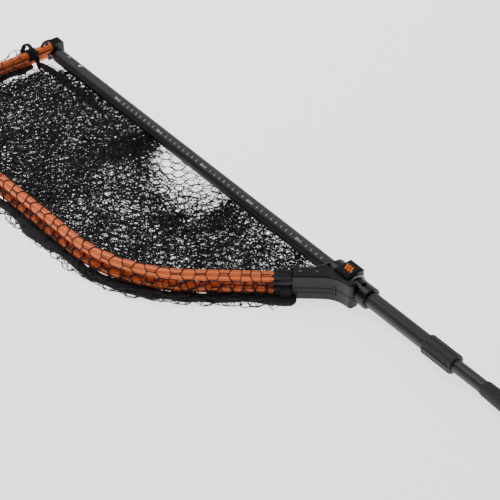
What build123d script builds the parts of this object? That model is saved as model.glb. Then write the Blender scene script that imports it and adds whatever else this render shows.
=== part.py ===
from build123d import *
import os
from math import atan2, cos, degrees, radians, sin

# Folding landing net, stowed: two half hoops stacked on one side of a handle that has been
# pushed forward through the hub. Millimetres. +X runs along the handle axis towards the
# hoop's tip, +Y towards the folded half hoops, +Z up. The origin is the middle of the foot
# under the hub. Every part that turns or slides does so about or along the handle axis.

# ---- driving dimensions -------------------------------------------------------------
foot_drop = 2.0             # the foot stands this far below the yokes
running = 0.08              # radial clearance of a hinge pin or barrel
sliding = 0.3               # radial clearance of tubes and anything that slides
snug = 0.15                 # radial clearance of pieces that are fixed together
end_play = 0.2              # axial clearance beside a knuckle or washer

arm_d = 14.0                # half hoop extrusion
arm_wall = 1.6
arm_gap = 6.0               # between the upper arm and the lower arm
arm_angle = 49.6            # arm to handle axis at the hub
arm_line = (28.0, 63.0)     # a point of the arm's straight start
head_width = 242.0          # handle axis to the outer corner of a half hoop
head_tip = 644.0            # tip section of the upper arm
arm_pass = 2.0              # room between the two tip sections when they lie side by side
side_start = 223.0          # Y where the two straights of an arm would meet
near_bend = 212.0
far_bend = 140.0

tube_d = 21.0               # outer handle tube
tube_wall = 1.2
tube_front = 631.0
tube_rear = -189.0
tube_room = 0.8             # radial room between the two handle tubes
inner_wall = 1.1
inner_front = 330.0
inner_rear = -505.0

arm_cover = 2.0             # yoke left above and below the arms
yoke_gap = 1.0              # parting gap between the two yokes
yoke_wall = 2.35            # wall beside the arm socket
yoke_mouth = 56.0           # Y of the socket mouth
tail_run = 24.5             # yoke band behind its bend
barrel_wall = 3.5
sleeve_step = 0.8           # the sleeve stands this far outside the barrel
knuckle_wall = 3.35
knuckle_front = 6.1         # the lower yoke's knuckle runs from -6.1 to 6.1
upper_knuckle = 24.8
washer_t = 0.8
sleeve_rear = -62.0
badge_step = 2.5            # badge platform above the yoke
platform_half = 14.0

button_x = 574.0
button_d = 6.0
button_proud = 1.8
rivet_x = 604.0
keyway_width = 7.6
keyway_depth = 2.2
lock_hole_x = -48.6

ferrule_wall = 1.3
collar_wall = 1.5
collar_front = -164.0
collar_rear = -211.0
grip_front = -260.0
grip_rear = -520.0
grip_wall = 3.5

# ---- derived values -----------------------------------------------------------------
tube_r = tube_d / 2
tube_bore = tube_r - tube_wall
inner_r = tube_bore - tube_room
arm_r = arm_d / 2
arm_stack = arm_d + arm_gap # upper arm centre to lower arm centre
tip_lap = arm_d + arm_pass  # the lower arm's tip section stands this much further out
socket_r = arm_r + snug
yoke_half = arm_stack / 2 + arm_r + arm_cover
axis_height = yoke_half + foot_drop
badge_rise = yoke_half + badge_step
barrel_r = tube_r + barrel_wall
sleeve_r = barrel_r + sleeve_step
knuckle_bore = barrel_r + running
knuckle_r = barrel_r + snug + knuckle_wall
sweep_r = knuckle_r + sliding
upper_front = -knuckle_front - washer_t - 2 * end_play
upper_rear = upper_front - upper_knuckle
shoulder = upper_rear - washer_t - 2 * end_play
along = Vector(cos(radians(arm_angle)), sin(radians(arm_angle)), 0)
outward = Vector(-sin(radians(arm_angle)), cos(radians(arm_angle)), 0)
upper_z = axis_height + arm_stack / 2
lower_z = axis_height - arm_stack / 2
handle_axis = Plane(origin=(0, 0, axis_height), x_dir=(0, 1, 0), z_dir=(1, 0, 0))


def section(x):
    """A plane across the handle axis: its x is +Y, its y is +Z."""
    return Plane(origin=(x, 0, axis_height), x_dir=(0, 1, 0), z_dir=(1, 0, 0))


def arm_point(y, offset=0.0):
    """A point of the arm's straight start at height y, moved outward by offset."""
    step = (y - arm_line[1]) / along.Y
    return Vector(*arm_line) + along * step + outward * offset


def finish(part, name):
    part.label = name
    export_step(part, "parts/" + name + ".step")


os.makedirs("parts", exist_ok=True)

# ---- hub ----------------------------------------------------------------------------
keyway_r = tube_r + keyway_depth
barrel_front = knuckle_front + 3.0
clip_at = knuckle_front + end_play
clip_t = 1.0
clip_depth = 0.8

# Sleeve: the button hole is in the fat rear end, the barrel carries both yokes.
with BuildPart() as hub_sleeve:
    with BuildSketch(section(sleeve_rear)):
        Circle(sleeve_r)
    extrude(amount=shoulder - sleeve_rear)
    fillet(hub_sleeve.edges().filter_by(GeomType.CIRCLE), 1.2)
    with BuildSketch(section(shoulder - 1.5)):
        Circle(barrel_r)
    extrude(amount=barrel_front - shoulder + 1.5)
    with BuildSketch(section(clip_at)):
        Circle(barrel_r + 1)
        Circle(barrel_r - clip_depth, mode=Mode.SUBTRACT)
    extrude(amount=clip_t + end_play, mode=Mode.SUBTRACT)
    with BuildSketch(section(sleeve_rear)):
        Circle(tube_r + sliding)
        with Locations((0, keyway_r / 2)):
            Rectangle(keyway_width, keyway_r)
    extrude(amount=barrel_front - sleeve_rear, mode=Mode.SUBTRACT)
    with BuildSketch(Plane.XY.offset(axis_height)):
        with Locations((lock_hole_x, 0)):
            Circle(button_d / 2 + 0.5)
    extrude(amount=sleeve_r + 1, mode=Mode.SUBTRACT)
    screw_dimple = Plane(origin=(0, -barrel_r - 1, axis_height), z_dir=(0, 1, 0))
    with BuildSketch(screw_dimple):
        Circle(2.1)
    extrude(amount=1.9, mode=Mode.SUBTRACT)
finish(hub_sleeve.part, "hub_sleeve")

with BuildPart() as hub_circlip:
    with BuildSketch(section(clip_at + end_play / 2)):
        Circle(barrel_r + 1.4)
        Circle(barrel_r - clip_depth + 0.1, mode=Mode.SUBTRACT)
        with Locations((0, -barrel_r)):
            Rectangle(6, 6, mode=Mode.SUBTRACT)
    extrude(amount=clip_t)
finish(hub_circlip.part, "hub_circlip")

with BuildPart() as thrust_washers:
    for start in (shoulder + end_play, upper_front + end_play):
        with BuildSketch(section(start)):
            Circle(knuckle_r - 0.2)
            Circle(barrel_r + snug, mode=Mode.SUBTRACT)
        extrude(amount=washer_t)
finish(thrust_washers.part, "thrust_washers")

with BuildPart() as hub_set_screw:
    with BuildSketch(Plane(origin=(0, -knuckle_r + 0.3, axis_height), z_dir=(0, 1, 0))):
        Circle(2.0)
    extrude(amount=4.0)
    with BuildSketch(Plane(origin=(0, -knuckle_r + 0.3, axis_height), z_dir=(0, 1, 0))):
        RegularPolygon(1.1, 6)
    extrude(amount=1.6, mode=Mode.SUBTRACT)
finish(hub_set_screw.part, "hub_set_screw")

# ---- yokes --------------------------------------------------------------------------
band_half = socket_r + yoke_wall
band_height = yoke_half - yoke_gap / 2
band_outer_y = sleeve_r + 4.7
outer_mouth = arm_point(yoke_mouth, band_half)
inner_mouth = arm_point(yoke_mouth, -band_half)
outer_turn = arm_point(band_outer_y - band_half * outward.Y, band_half)
yoke_tail = outer_turn.X - tail_run
socket_end = arm_point(26.0)
outer_bend = 40.0
tail_bend = 5.0
band_inner_y = 8.0
web_front = 9.0
web_corner = (14.0, 30.0)
rib_count = 14
rib_width = 1.6
rib_height = 7.5
rib_depth = 1.3
rivet_rows = (49.0, 33.0)
rivet_r = 1.6
rivet_head_r = 2.6
foot_half = 10.0


def outer_side():
    """The yoke's outer side: straight beside the arm, round to the hub, round the tail."""
    return FilletPolyline(
        outer_mouth,
        outer_turn,
        (yoke_tail, band_outer_y),
        (yoke_tail, band_inner_y),
        radius=[outer_bend, tail_bend],
    )


def yoke_band(bottom):
    """The arm socket band that both yokes share."""
    with BuildPart() as band:
        with BuildSketch(Plane.XY.offset(bottom)):
            with BuildLine():
                side = outer_side()
                Polyline(
                    side @ 1,
                    (web_front, band_inner_y),
                    (web_front, platform_half + 0.6),
                    web_corner,
                    inner_mouth,
                    side @ 0,
                )
            make_face()
        extrude(amount=band_height)
    return band.part


def cut_ribs(centre_z):
    """Grip grooves down the outer side, square to it."""
    with BuildLine(mode=Mode.PRIVATE) as route:
        outer_side()
    for index in range(rib_count):
        at = 0.06 + 0.56 * index / (rib_count - 1)
        point = route.line @ at
        turn = degrees(atan2((route.line % at).Y, (route.line % at).X))
        with Locations(Location((point.X, point.Y, centre_z), (0, 0, turn))):
            Box(rib_width, 2 * rib_depth, rib_height, mode=Mode.SUBTRACT)


def cut_socket(height):
    """The blind bore that holds the arm."""
    reach = (arm_point(yoke_mouth) - socket_end).length + 12
    with BuildSketch(Plane(origin=(socket_end.X, socket_end.Y, height), z_dir=along)) as end:
        Circle(socket_r)
    extrude(end.sketch, amount=reach, mode=Mode.SUBTRACT)


def cut_round(x_from, x_to, radius, flat_to=None):
    """Clear a cylinder about the handle axis, and everything below flat_to in Y."""
    with BuildSketch(section(x_from)) as cut:
        Circle(radius)
        if flat_to is not None:
            with Locations((flat_to / 2, 0)):
                Rectangle(flat_to, 4 * yoke_half)
    extrude(cut.sketch, amount=x_to - x_from, mode=Mode.SUBTRACT)


lower_band = yoke_band(axis_height - yoke_half)
with BuildPart() as lower_yoke:
    add(lower_band)
    fillet(lower_yoke.faces().sort_by(Axis.Z)[0].edges(), 2.5)
    cut_round(upper_rear - 30, shoulder, sleeve_r + sliding)
    cut_round(shoulder - 0.01, -knuckle_front, sweep_r, platform_half + 0.6)
    with BuildSketch(section(-knuckle_front)):
        Circle(knuckle_r)
        with Locations((0, -axis_height / 2)):
            Rectangle(2 * foot_half, axis_height)
    extrude(amount=2 * knuckle_front)
    with BuildSketch(section(-knuckle_front)):
        Circle(barrel_r + snug)
    extrude(amount=2 * knuckle_front, mode=Mode.SUBTRACT)
    cut_round(knuckle_front, knuckle_front + 20, barrel_r + 1.8)
    cut_socket(lower_z)
    cut_ribs(axis_height - yoke_gap / 2 - rib_height / 2)
    with BuildSketch(Plane.XY):
        for row in rivet_rows:
            with Locations(arm_point(row)):
                Circle(rivet_r + 0.1)
    extrude(amount=axis_height - 1.5, mode=Mode.SUBTRACT)
    with BuildSketch(Plane(origin=(0, -knuckle_r - 1, axis_height), z_dir=(0, 1, 0))):
        Circle(2.1)
    extrude(amount=6, mode=Mode.SUBTRACT)
finish(lower_yoke.part, "lower_yoke")

badge_border = 2.0
badge_inset = 0.8
upper_band = yoke_band(axis_height + yoke_gap / 2)
with BuildPart() as upper_yoke:
    add(upper_band)
    fillet(upper_yoke.faces().sort_by(Axis.Z)[-1].edges(), 2.5)
    cut_round(upper_rear - 30, shoulder, sleeve_r + sliding)
    cut_round(shoulder, upper_rear, sweep_r)
    cut_round(upper_front, knuckle_front + 0.6, sweep_r, platform_half + 0.6)
    cut_round(knuckle_front, knuckle_front + 20, barrel_r + 1.8)
    with BuildSketch(section(upper_rear)):
        Circle(knuckle_r)
        with Locations((0, badge_rise / 2)):
            Rectangle(2 * platform_half, badge_rise)
    extrude(amount=upper_knuckle)
    platform_top = upper_yoke.faces().sort_by(Axis.Z)[-1]
    chamfer(platform_top.edges(), 0.8)
    with BuildSketch(section(upper_rear)):
        Circle(knuckle_bore)
    extrude(amount=upper_knuckle, mode=Mode.SUBTRACT)
    middle_x = upper_rear + upper_knuckle / 2
    with BuildSketch(Plane.XY.offset(axis_height + badge_rise - badge_inset)):
        with Locations((middle_x, 0)):
            RectangleRounded(
                upper_knuckle - 2 * badge_border, 2 * platform_half - 2 * badge_border, 1.5
            )
    extrude(amount=5, mode=Mode.SUBTRACT)
    cut_socket(upper_z)
    cut_ribs(axis_height + yoke_gap / 2 + rib_height / 2)
    with BuildSketch(Plane.XY.offset(axis_height + 1.5)):
        for row in rivet_rows:
            with Locations(arm_point(row)):
                Circle(rivet_r + 0.1)
    extrude(amount=yoke_half, mode=Mode.SUBTRACT)
finish(upper_yoke.part, "upper_yoke")

with BuildPart() as badge_plate:
    with BuildSketch(Plane.XY.offset(axis_height + badge_rise - badge_inset)):
        with Locations((middle_x, 0)):
            RectangleRounded(
                upper_knuckle - 2 * badge_border - 2 * snug,
                2 * platform_half - 2 * badge_border - 2 * snug,
                1.4,
            )
    extrude(amount=badge_inset + 0.8)
    chamfer(badge_plate.faces().sort_by(Axis.Z)[-1].edges(), 0.4)
finish(badge_plate.part, "badge_plate")

# ---- arms ---------------------------------------------------------------------------
flute_count = 8
flute_r = 1.2
flute_depth = 0.6
arm_end = 4.5               # Y of the arm's tip end
screw_rows = (11.0, 19.0)
screw_r = 1.5
near_corner = arm_point(side_start)


def arm_route(tip_x, height, start, end):
    """An arm's centre line: straight, near bend, straight side, far bend, straight tip."""
    return FilletPolyline(
        (start.X, start.Y, height),
        (near_corner.X, near_corner.Y, height),
        (tip_x, head_width, height),
        (tip_x, end, height),
        radius=[near_bend, far_bend],
    )


def fluted_ring(outer, depth, flute, count, inner, phase=0.0):
    """A round extrusion profile with lengthwise grooves and a round bore."""
    Circle(outer)
    with PolarLocations(outer + flute - depth, count, start_angle=phase):
        Circle(flute, mode=Mode.SUBTRACT)
    Circle(inner, mode=Mode.SUBTRACT)


def make_arm(tip_x, height, side):
    """One half hoop. side is +1 when its fasteners come from above, -1 from below."""
    with BuildPart() as arm:
        with BuildLine() as route:
            arm_route(tip_x, height, socket_end + along, arm_end)
        with BuildSketch(Plane(origin=route.line @ 0, x_dir=outward, z_dir=along)):
            fluted_ring(arm_r, flute_depth, flute_r, flute_count, arm_r - arm_wall)
        sweep(path=route.line)
        with BuildSketch(Plane.XY.offset(height)):
            for row in rivet_rows:
                with Locations(arm_point(row)):
                    Circle(rivet_r + 0.1)
        extrude(amount=arm_r + 1, both=True, mode=Mode.SUBTRACT)
        with BuildSketch(Plane.XY.offset(height)):
            for row in screw_rows:
                with Locations((tip_x, row)):
                    Circle(screw_r + 0.1)
        extrude(amount=side * (arm_r + 1), mode=Mode.SUBTRACT)
    return arm.part


lower_tip = head_tip + tip_lap
finish(make_arm(head_tip, upper_z, 1), "upper_arm")
finish(make_arm(lower_tip, lower_z, -1), "lower_arm")


def make_rivets(face_z, side):
    """Dome-headed rivets through a yoke and the end of its arm."""
    with BuildPart() as rivets:
        for row in rivet_rows:
            spot = arm_point(row)
            with BuildSketch(Plane.XY.offset(face_z)):
                with Locations(spot):
                    Circle(rivet_r)
            extrude(amount=-side * (yoke_half - 2.5))
            with BuildSketch(Plane.XY.offset(face_z)):
                with Locations(spot):
                    Circle(rivet_head_r)
            extrude(amount=side * 0.8, taper=35)
    return rivets.part


finish(make_rivets(axis_height + yoke_half, 1), "upper_arm_rivets")
finish(make_rivets(axis_height - yoke_half, -1), "lower_arm_rivets")

# ---- tip hinge ----------------------------------------------------------------------
pin_r = 2.5
block_gap = 0.5
lap_middle = (head_tip + lower_tip) / 2
block_width = tip_lap - 2 * block_gap
block_reach = 14.0          # how far a block runs past the handle axis
block_rim = 0.8
block_top = arm_stack / 2 + arm_r + block_rim
block_step = arm_stack / 2 - arm_r - block_rim
tip_knuckle = 7.5
spigot_r = arm_r - arm_wall - 0.2
spigot_end = 25.0
groove_width = 1.2


def make_block(tip_x, height, side, bore):
    """A tip block: knuckle round the pin, ribbed body, spigot up the arm."""
    start = tip_x - block_width / 2
    with BuildPart() as block:
        with BuildSketch(section(start)) as profile:
            Circle(tip_knuckle)
            with BuildLine():
                Polyline(
                    (arm_end - snug, side * block_step),
                    (arm_end - snug, side * block_top),
                    (-block_reach, side * block_top),
                    (-block_reach, side * -1.0),
                    (-tip_knuckle, side * -tip_knuckle),
                    (0, side * -tip_knuckle),
                    (tip_knuckle, 0),
                    (arm_end - snug, side * block_step),
                )
            make_face()
            with Locations((arm_end - snug + arm_r, side * (block_step + arm_d))):
                Rectangle(arm_d, 2 * arm_d, mode=Mode.SUBTRACT)
        extrude(amount=block_width)
        fillet(block.edges().filter_by(Axis.X).group_by(Axis.Y)[0], 3)
        top = axis_height + side * block_top
        with Locations((tip_x, -block_reach / 2, top)):
            with GridLocations(3.6, 1, 4, 1):
                Box(groove_width, 2 * block_reach, 2, mode=Mode.SUBTRACT)
        with BuildSketch(section(start)):
            Circle(bore)
        extrude(amount=block_width, mode=Mode.SUBTRACT)
        spigot = Plane(origin=(tip_x, arm_end - 2, height), z_dir=(0, 1, 0))
        with BuildSketch(spigot):
            Circle(spigot_r)
        extrude(amount=spigot_end - arm_end + 2)
        with BuildSketch(Plane.XY.offset(height)):
            for row in screw_rows:
                with Locations((tip_x, row)):
                    Circle(screw_r + 0.1)
        extrude(amount=side * arm_r, mode=Mode.SUBTRACT)
    return block.part


finish(make_block(head_tip, upper_z, 1, pin_r + running), "upper_tip_block")
finish(make_block(lower_tip, lower_z, -1, pin_r + running), "lower_tip_block")


def make_screws(tip_x, height, side):
    """Pan-head screws that hold an arm to its tip block."""
    with BuildPart() as screws:
        for row in screw_rows:
            with BuildSketch(Plane.XY.offset(height + side * 0.6)):
                with Locations((tip_x, row)):
                    Circle(screw_r)
            extrude(amount=side * (arm_r - 0.6))
            with BuildSketch(Plane.XY.offset(height + side * arm_r)):
                with Locations((tip_x, row)):
                    Circle(2.6)
            extrude(amount=side * 1.3, taper=12)
    return screws.part


finish(make_screws(head_tip, upper_z, 1), "upper_tip_screws")
finish(make_screws(lower_tip, lower_z, -1), "lower_tip_screws")

pin_start = head_tip - block_width / 2 - end_play
pin_end = lower_tip + block_width / 2 + end_play
with BuildPart() as tip_pin:
    with BuildSketch(section(pin_start - 1.8)):
        Circle(4.2)
    extrude(amount=1.8)
    with BuildSketch(section(pin_start)):
        Circle(pin_r)
    extrude(amount=pin_end - pin_start + 2.0)
    chamfer(tip_pin.faces().sort_by(Axis.X)[-1].edges(), 0.4)
finish(tip_pin.part, "tip_pin")

with BuildPart() as tip_clip:
    with BuildSketch(section(pin_end)):
        Circle(4.4)
        Circle(pin_r + 0.05, mode=Mode.SUBTRACT)
    extrude(amount=1.2)
finish(tip_clip.part, "tip_clip")

with BuildPart() as tip_washer:
    with BuildSketch(section(lap_middle - block_gap + end_play)):
        Circle(tip_knuckle - 0.5)
        Circle(pin_r + snug, mode=Mode.SUBTRACT)
    extrude(amount=2 * (block_gap - end_play))
finish(tip_washer.part, "tip_washer")

# ---- outer handle tube --------------------------------------------------------------
tube_flutes = 8
plug_flange = 2.5
plug_reach = 34.0
housing_half = 11.0
pocket_r = button_d / 2 + 0.6
button_hole = button_d / 2 + 0.15
button_rise = 1.6           # how far the button springs up in the sleeve hole

with BuildPart() as outer_tube:
    with BuildSketch(section(tube_rear)):
        fluted_ring(tube_r, 0.5, 1.6, tube_flutes, tube_bore, 22.5)
    extrude(amount=tube_front - plug_flange - tube_rear)
    with BuildSketch(Plane.XY.offset(axis_height)):
        with Locations((button_x, 0)):
            Circle(button_hole)
        with Locations((rivet_x, 0)):
            Circle(rivet_r + 0.1)
    extrude(amount=tube_r + 1, mode=Mode.SUBTRACT)
finish(outer_tube.part, "outer_tube")

with BuildPart() as nose_plug:
    with BuildSketch(section(tube_front - plug_flange)):
        Circle(tube_r)
    extrude(amount=plug_flange)
    fillet(nose_plug.faces().sort_by(Axis.X)[-1].edges(), 1.5)
    with BuildSketch(section(tube_front - plug_flange)):
        Circle(tube_bore - 0.1)
    extrude(amount=-plug_reach)
    with BuildSketch(Plane.XY.offset(axis_height + 3)):
        with Locations((rivet_x, 0)):
            Circle(rivet_r + 0.1)
    extrude(amount=tube_r, mode=Mode.SUBTRACT)
finish(nose_plug.part, "nose_plug")

with BuildPart() as nose_rivet:
    with BuildSketch(Plane.XY.offset(axis_height + 4)):
        with Locations((rivet_x, 0)):
            Circle(rivet_r)
    extrude(amount=tube_r - 4)
    with BuildSketch(Plane.XY.offset(axis_height + tube_r)):
        with Locations((rivet_x, 0)):
            Circle(3.0)
    extrude(amount=1.4, taper=30)
finish(nose_rivet.part, "nose_rivet")

flange_clear = 0.1
flange_top = (tube_bore**2 - pocket_r**2) ** 0.5 - flange_clear - button_rise
flange_t = 1.5
pocket_floor = -5.0
with BuildPart() as button_housing:
    with BuildSketch(section(button_x - housing_half)):
        Circle(tube_bore - 0.1)
    extrude(amount=2 * housing_half)
    with BuildSketch(Plane.XY.offset(axis_height + pocket_floor)):
        with Locations((button_x, 0)):
            Circle(pocket_r)
    extrude(amount=tube_r - pocket_floor, mode=Mode.SUBTRACT)
finish(button_housing.part, "button_housing")

with BuildPart() as snap_button:
    with BuildSketch(Plane.XY.offset(axis_height + flange_top - flange_t)):
        with Locations((button_x, 0)):
            Circle(pocket_r - 0.15)
    extrude(amount=flange_t)
    with BuildSketch(Plane.XY.offset(axis_height + flange_top)):
        with Locations((button_x, 0)):
            Circle(button_d / 2)
    extrude(amount=tube_r + button_proud - flange_top)
    fillet(snap_button.faces().sort_by(Axis.Z)[-1].edges(), 1.5)
finish(snap_button.part, "snap_button")

spring_coils = 5
spring_bottom = axis_height + pocket_floor + 0.4
spring_top = axis_height + flange_top - flange_t - 0.4
spring_wire = 0.35
with BuildPart() as button_spring:
    with BuildLine():
        coil = Helix(
            (spring_top - spring_bottom) / spring_coils,
            spring_top - spring_bottom,
            pocket_r - 1.0,
            center=(button_x, 0, spring_bottom),
        )
    with BuildSketch(Plane(origin=coil @ 0, z_dir=coil % 0)):
        Circle(spring_wire)
    sweep(path=coil, is_frenet=True)
finish(button_spring.part, "button_spring")

# ---- twist lock ---------------------------------------------------------------------
ferrule_front = collar_front - 2.0
ferrule_r = tube_r + ferrule_wall
collet_rear = collar_rear + 3.0
with BuildPart() as lock_ferrule:
    with BuildSketch(section(tube_rear - 1.5)):
        Circle(ferrule_r)
    extrude(amount=ferrule_front - tube_rear + 1.5)
    with BuildSketch(section(tube_rear)):
        Circle(tube_r + 0.05)
    extrude(amount=ferrule_front - tube_rear, mode=Mode.SUBTRACT)
    with BuildSketch(section(tube_rear - 1.5)):
        Circle(inner_r + sliding)
    extrude(amount=2, mode=Mode.SUBTRACT)
    for turn in range(5):
        with BuildSketch(section(tube_rear + 2 + 3.6 * turn)):
            Circle(ferrule_r + 0.1)
            Circle(ferrule_r - 0.4, mode=Mode.SUBTRACT)
        extrude(amount=1.6, mode=Mode.SUBTRACT)
finish(lock_ferrule.part, "lock_ferrule")

collet_slots = 4
with BuildPart() as lock_collet:
    with BuildSketch(section(tube_rear - 1.7)):
        Circle(ferrule_r - 0.6)
    extrude(amount=collet_rear - tube_rear + 1.7, taper=3)
    with BuildSketch(section(collet_rear)):
        Circle(inner_r + sliding)
    extrude(amount=tube_rear - collet_rear, mode=Mode.SUBTRACT)
    with Locations(handle_axis.offset(collet_rear).location):
        with PolarLocations(inner_r + 1.5, collet_slots):
            Box(8, 1.2, 24, mode=Mode.SUBTRACT)
finish(lock_collet.part, "lock_collet")

collar_r = ferrule_r + collar_wall
collar_flutes = 10
with BuildPart() as twist_collar:
    with BuildSketch(section(collar_rear)):
        Circle(collar_r)
        with PolarLocations(collar_r + 0.6, collar_flutes, start_angle=18):
            Circle(1.7, mode=Mode.SUBTRACT)
    extrude(amount=collar_front - collar_rear)
    chamfer(twist_collar.faces().sort_by(Axis.X)[0].edges(), 0.5)
    chamfer(twist_collar.faces().sort_by(Axis.X)[-1].edges(), 0.5)
    with BuildSketch(section(collar_rear + 2.0)):
        Circle(ferrule_r + sliding)
    extrude(amount=collar_front - collar_rear - 4.0, mode=Mode.SUBTRACT)
    with BuildSketch(section(collar_rear)):
        Circle(inner_r + sliding)
    extrude(amount=3, mode=Mode.SUBTRACT)
    with BuildSketch(section(collar_front - 3)):
        Circle(tube_r + sliding)
    extrude(amount=3, mode=Mode.SUBTRACT)
finish(twist_collar.part, "twist_collar")

# ---- inner tube, grip and butt ------------------------------------------------------
with BuildPart() as inner_tube:
    with BuildSketch(section(inner_rear)):
        fluted_ring(inner_r, 0.4, 1.4, 6, inner_r - inner_wall, 30)
    extrude(amount=inner_front - inner_rear)
finish(inner_tube.part, "inner_tube")

with BuildPart() as guide_bush:
    with BuildSketch(section(inner_front)):
        Circle(tube_bore - 0.25)
    extrude(amount=6)
    chamfer(guide_bush.faces().sort_by(Axis.X)[-1].edges(), 0.8)
    with BuildSketch(section(inner_front)):
        Circle(inner_r - inner_wall - 0.1)
    extrude(amount=-14)
finish(guide_bush.part, "guide_bush")

grip_bore = inner_r + 0.05
grip_r = inner_r + grip_wall
with BuildPart() as grip:
    with BuildSketch(Plane(origin=(0, 0, axis_height), x_dir=(1, 0, 0), z_dir=(0, -1, 0))):
        with BuildLine():
            crown = Spline(
                (grip_front, grip_bore + 1.0),
                (grip_front - 60, grip_r - 0.6),
                ((grip_front + grip_rear) / 2, grip_r),
                (grip_rear + 50, grip_r - 0.8),
                (grip_rear, grip_r + 1.6),
            )
            Polyline(crown @ 1, (grip_rear, grip_bore), (grip_front, grip_bore), crown @ 0)
        make_face()
    revolve(axis=Axis((0, 0, axis_height), (1, 0, 0)))
finish(grip.part, "grip")

cap_length = 16.0
tab_reach = 20.0
tab_t = 8.0
lanyard_r = 3.5
with BuildPart() as butt_cap:
    with BuildSketch(section(grip_rear)):
        Circle(grip_r + 1.6)
    extrude(amount=-cap_length)
    fillet(butt_cap.faces().sort_by(Axis.X)[0].edges(), 4)
    with BuildSketch(section(grip_rear)):
        Circle(inner_r - inner_wall - 0.1)
    extrude(amount=inner_rear - grip_rear + 12)
    with BuildSketch(section(grip_rear)):
        Circle(inner_r - inner_wall - 3)
    extrude(amount=inner_rear - grip_rear + 13, mode=Mode.SUBTRACT)
    tab_plane = Plane(origin=(0, tab_t / 2, axis_height), x_dir=(1, 0, 0), z_dir=(0, -1, 0))
    with BuildSketch(tab_plane):
        with Locations((grip_rear - cap_length - tab_reach / 2 + 5, 0)):
            SlotOverall(tab_reach + 10, 15)
    extrude(amount=tab_t)
    with BuildSketch(tab_plane):
        with Locations((grip_rear - cap_length - tab_reach + 8.5, 0)):
            Circle(lanyard_r)
    extrude(amount=tab_t, mode=Mode.SUBTRACT)
finish(butt_cap.part, "butt_cap")

# ---- soft goods ---------------------------------------------------------------------
bag_clear = 11.0            # bag edge to the arms' centre line
bag_height = 22.0
bag_near = 15.0             # bag edge to the handle axis
hem_width = 20.0
hem_t = 1.2
hem_shift = 3.0
hem_end = 24.0
strap_t = 2.0
strap_gap = 0.4

# The bag lies in a heap on the ground inside the folded half hoops.
with BuildPart() as net_bag:
    with BuildSketch():
        with BuildLine():
            bag_tip = head_tip - bag_clear
            bag_side = head_width - bag_clear
            bag_start = arm_point(86.0, -bag_clear - arm_r)
            bag_corner = arm_point(side_start - bag_clear, -bag_clear)
            FilletPolyline(
                (bag_start.X, bag_near),
                (bag_tip, bag_near),
                (bag_tip, bag_side),
                bag_corner,
                bag_start,
                close=True,
                radius=[12, 12, far_bend - bag_clear, near_bend - bag_clear, 40],
            )
        make_face()
    extrude(amount=bag_height, taper=6)
    fillet(net_bag.faces().sort_by(Axis.Z)[-1].edges(), 4)
finish(net_bag.part, "net_bag")

# The hem band lies on the ground under the lower arm.
with BuildPart() as hem_band:
    with BuildLine() as hem_route:
        arm_route(lower_tip, hem_t / 2, arm_point(yoke_mouth + 12), hem_end)
    with BuildSketch(Plane(origin=hem_route.line @ 0, x_dir=outward, z_dir=along)):
        with Locations((hem_shift, 0)):
            Rectangle(hem_width, hem_t)
    sweep(path=hem_route.line)
finish(hem_band.part, "hem_band")


def make_strap(plane, length):
    """A webbing sleeve round an arm."""
    with BuildPart() as strap:
        with BuildSketch(plane):
            Circle(arm_r + strap_gap + strap_t)
            Circle(arm_r + strap_gap, mode=Mode.SUBTRACT)
        extrude(amount=length)
    return strap.part


strap_start = arm_point(yoke_mouth + 2)
for name, height in (("upper_yoke_strap", upper_z), ("lower_yoke_strap", lower_z)):
    strap_plane = Plane(origin=(strap_start.X, strap_start.Y, height), z_dir=along)
    finish(make_strap(strap_plane, 16.0), name)
tip_plane = Plane(origin=(head_tip, 28.0, upper_z), z_dir=(0, 1, 0))
finish(make_strap(tip_plane, 22.0), "tip_strap")
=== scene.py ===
"""Looks of a folding landing net, stowed flat beside its handle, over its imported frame."""

import logging
import math
from dataclasses import dataclass
from enum import Enum
from typing import Callable, Sequence

import bmesh
import bpy
import numpy as np
from mathutils import Matrix, Vector


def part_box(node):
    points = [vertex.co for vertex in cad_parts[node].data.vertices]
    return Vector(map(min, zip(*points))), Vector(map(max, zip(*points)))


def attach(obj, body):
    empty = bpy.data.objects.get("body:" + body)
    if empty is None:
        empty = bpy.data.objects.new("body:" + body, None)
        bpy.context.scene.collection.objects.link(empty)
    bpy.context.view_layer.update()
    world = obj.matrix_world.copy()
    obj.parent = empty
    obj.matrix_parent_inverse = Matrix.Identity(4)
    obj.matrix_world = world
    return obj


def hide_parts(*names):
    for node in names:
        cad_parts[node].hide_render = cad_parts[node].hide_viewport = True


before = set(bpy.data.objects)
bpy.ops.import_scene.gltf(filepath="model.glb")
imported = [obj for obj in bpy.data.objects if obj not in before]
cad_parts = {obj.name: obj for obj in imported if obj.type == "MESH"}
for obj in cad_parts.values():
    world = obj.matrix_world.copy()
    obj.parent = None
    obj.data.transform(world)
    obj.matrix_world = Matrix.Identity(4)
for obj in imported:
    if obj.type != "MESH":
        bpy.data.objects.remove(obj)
log = logging.getLogger("landing_net")

Colour = tuple[float, float, float]
Point = tuple[float, float, float]
MM = 0.001
UPPER_Z = 31 * MM
LOWER_Z = 11 * MM
AXIS_Z = 21 * MM
ARM_R = 7 * MM
TUBE_R = 10.5 * MM
TUBE_FRONT_X = 632 * MM
TIP_ROOM_X = 618 * MM
HUB_Y = 5 * MM
TUBE_SIDE_Y = 16 * MM
CLEAR_OF_TUBE = 12.5 * MM
BELOW_TUBE = -13 * MM
OPEN_SHARE = 0.42
KNOT_AREA = 1.3


class Body(Enum):
    """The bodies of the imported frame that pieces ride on."""

    HUB = "hub"
    UPPER = "upper_half"
    HANDLE = "handle"
    COLLAR = "twist_collar"
    INNER = "inner_handle"


class Relief(Enum):
    """What a finish's surface carries in its bump."""

    GRAIN = "fine moulded or sprayed grain"
    WEAVE = "crossed yarns"
    DIMPLES = "small round dimples"
    BRUSHED = "lengthwise drawing lines"


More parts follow.
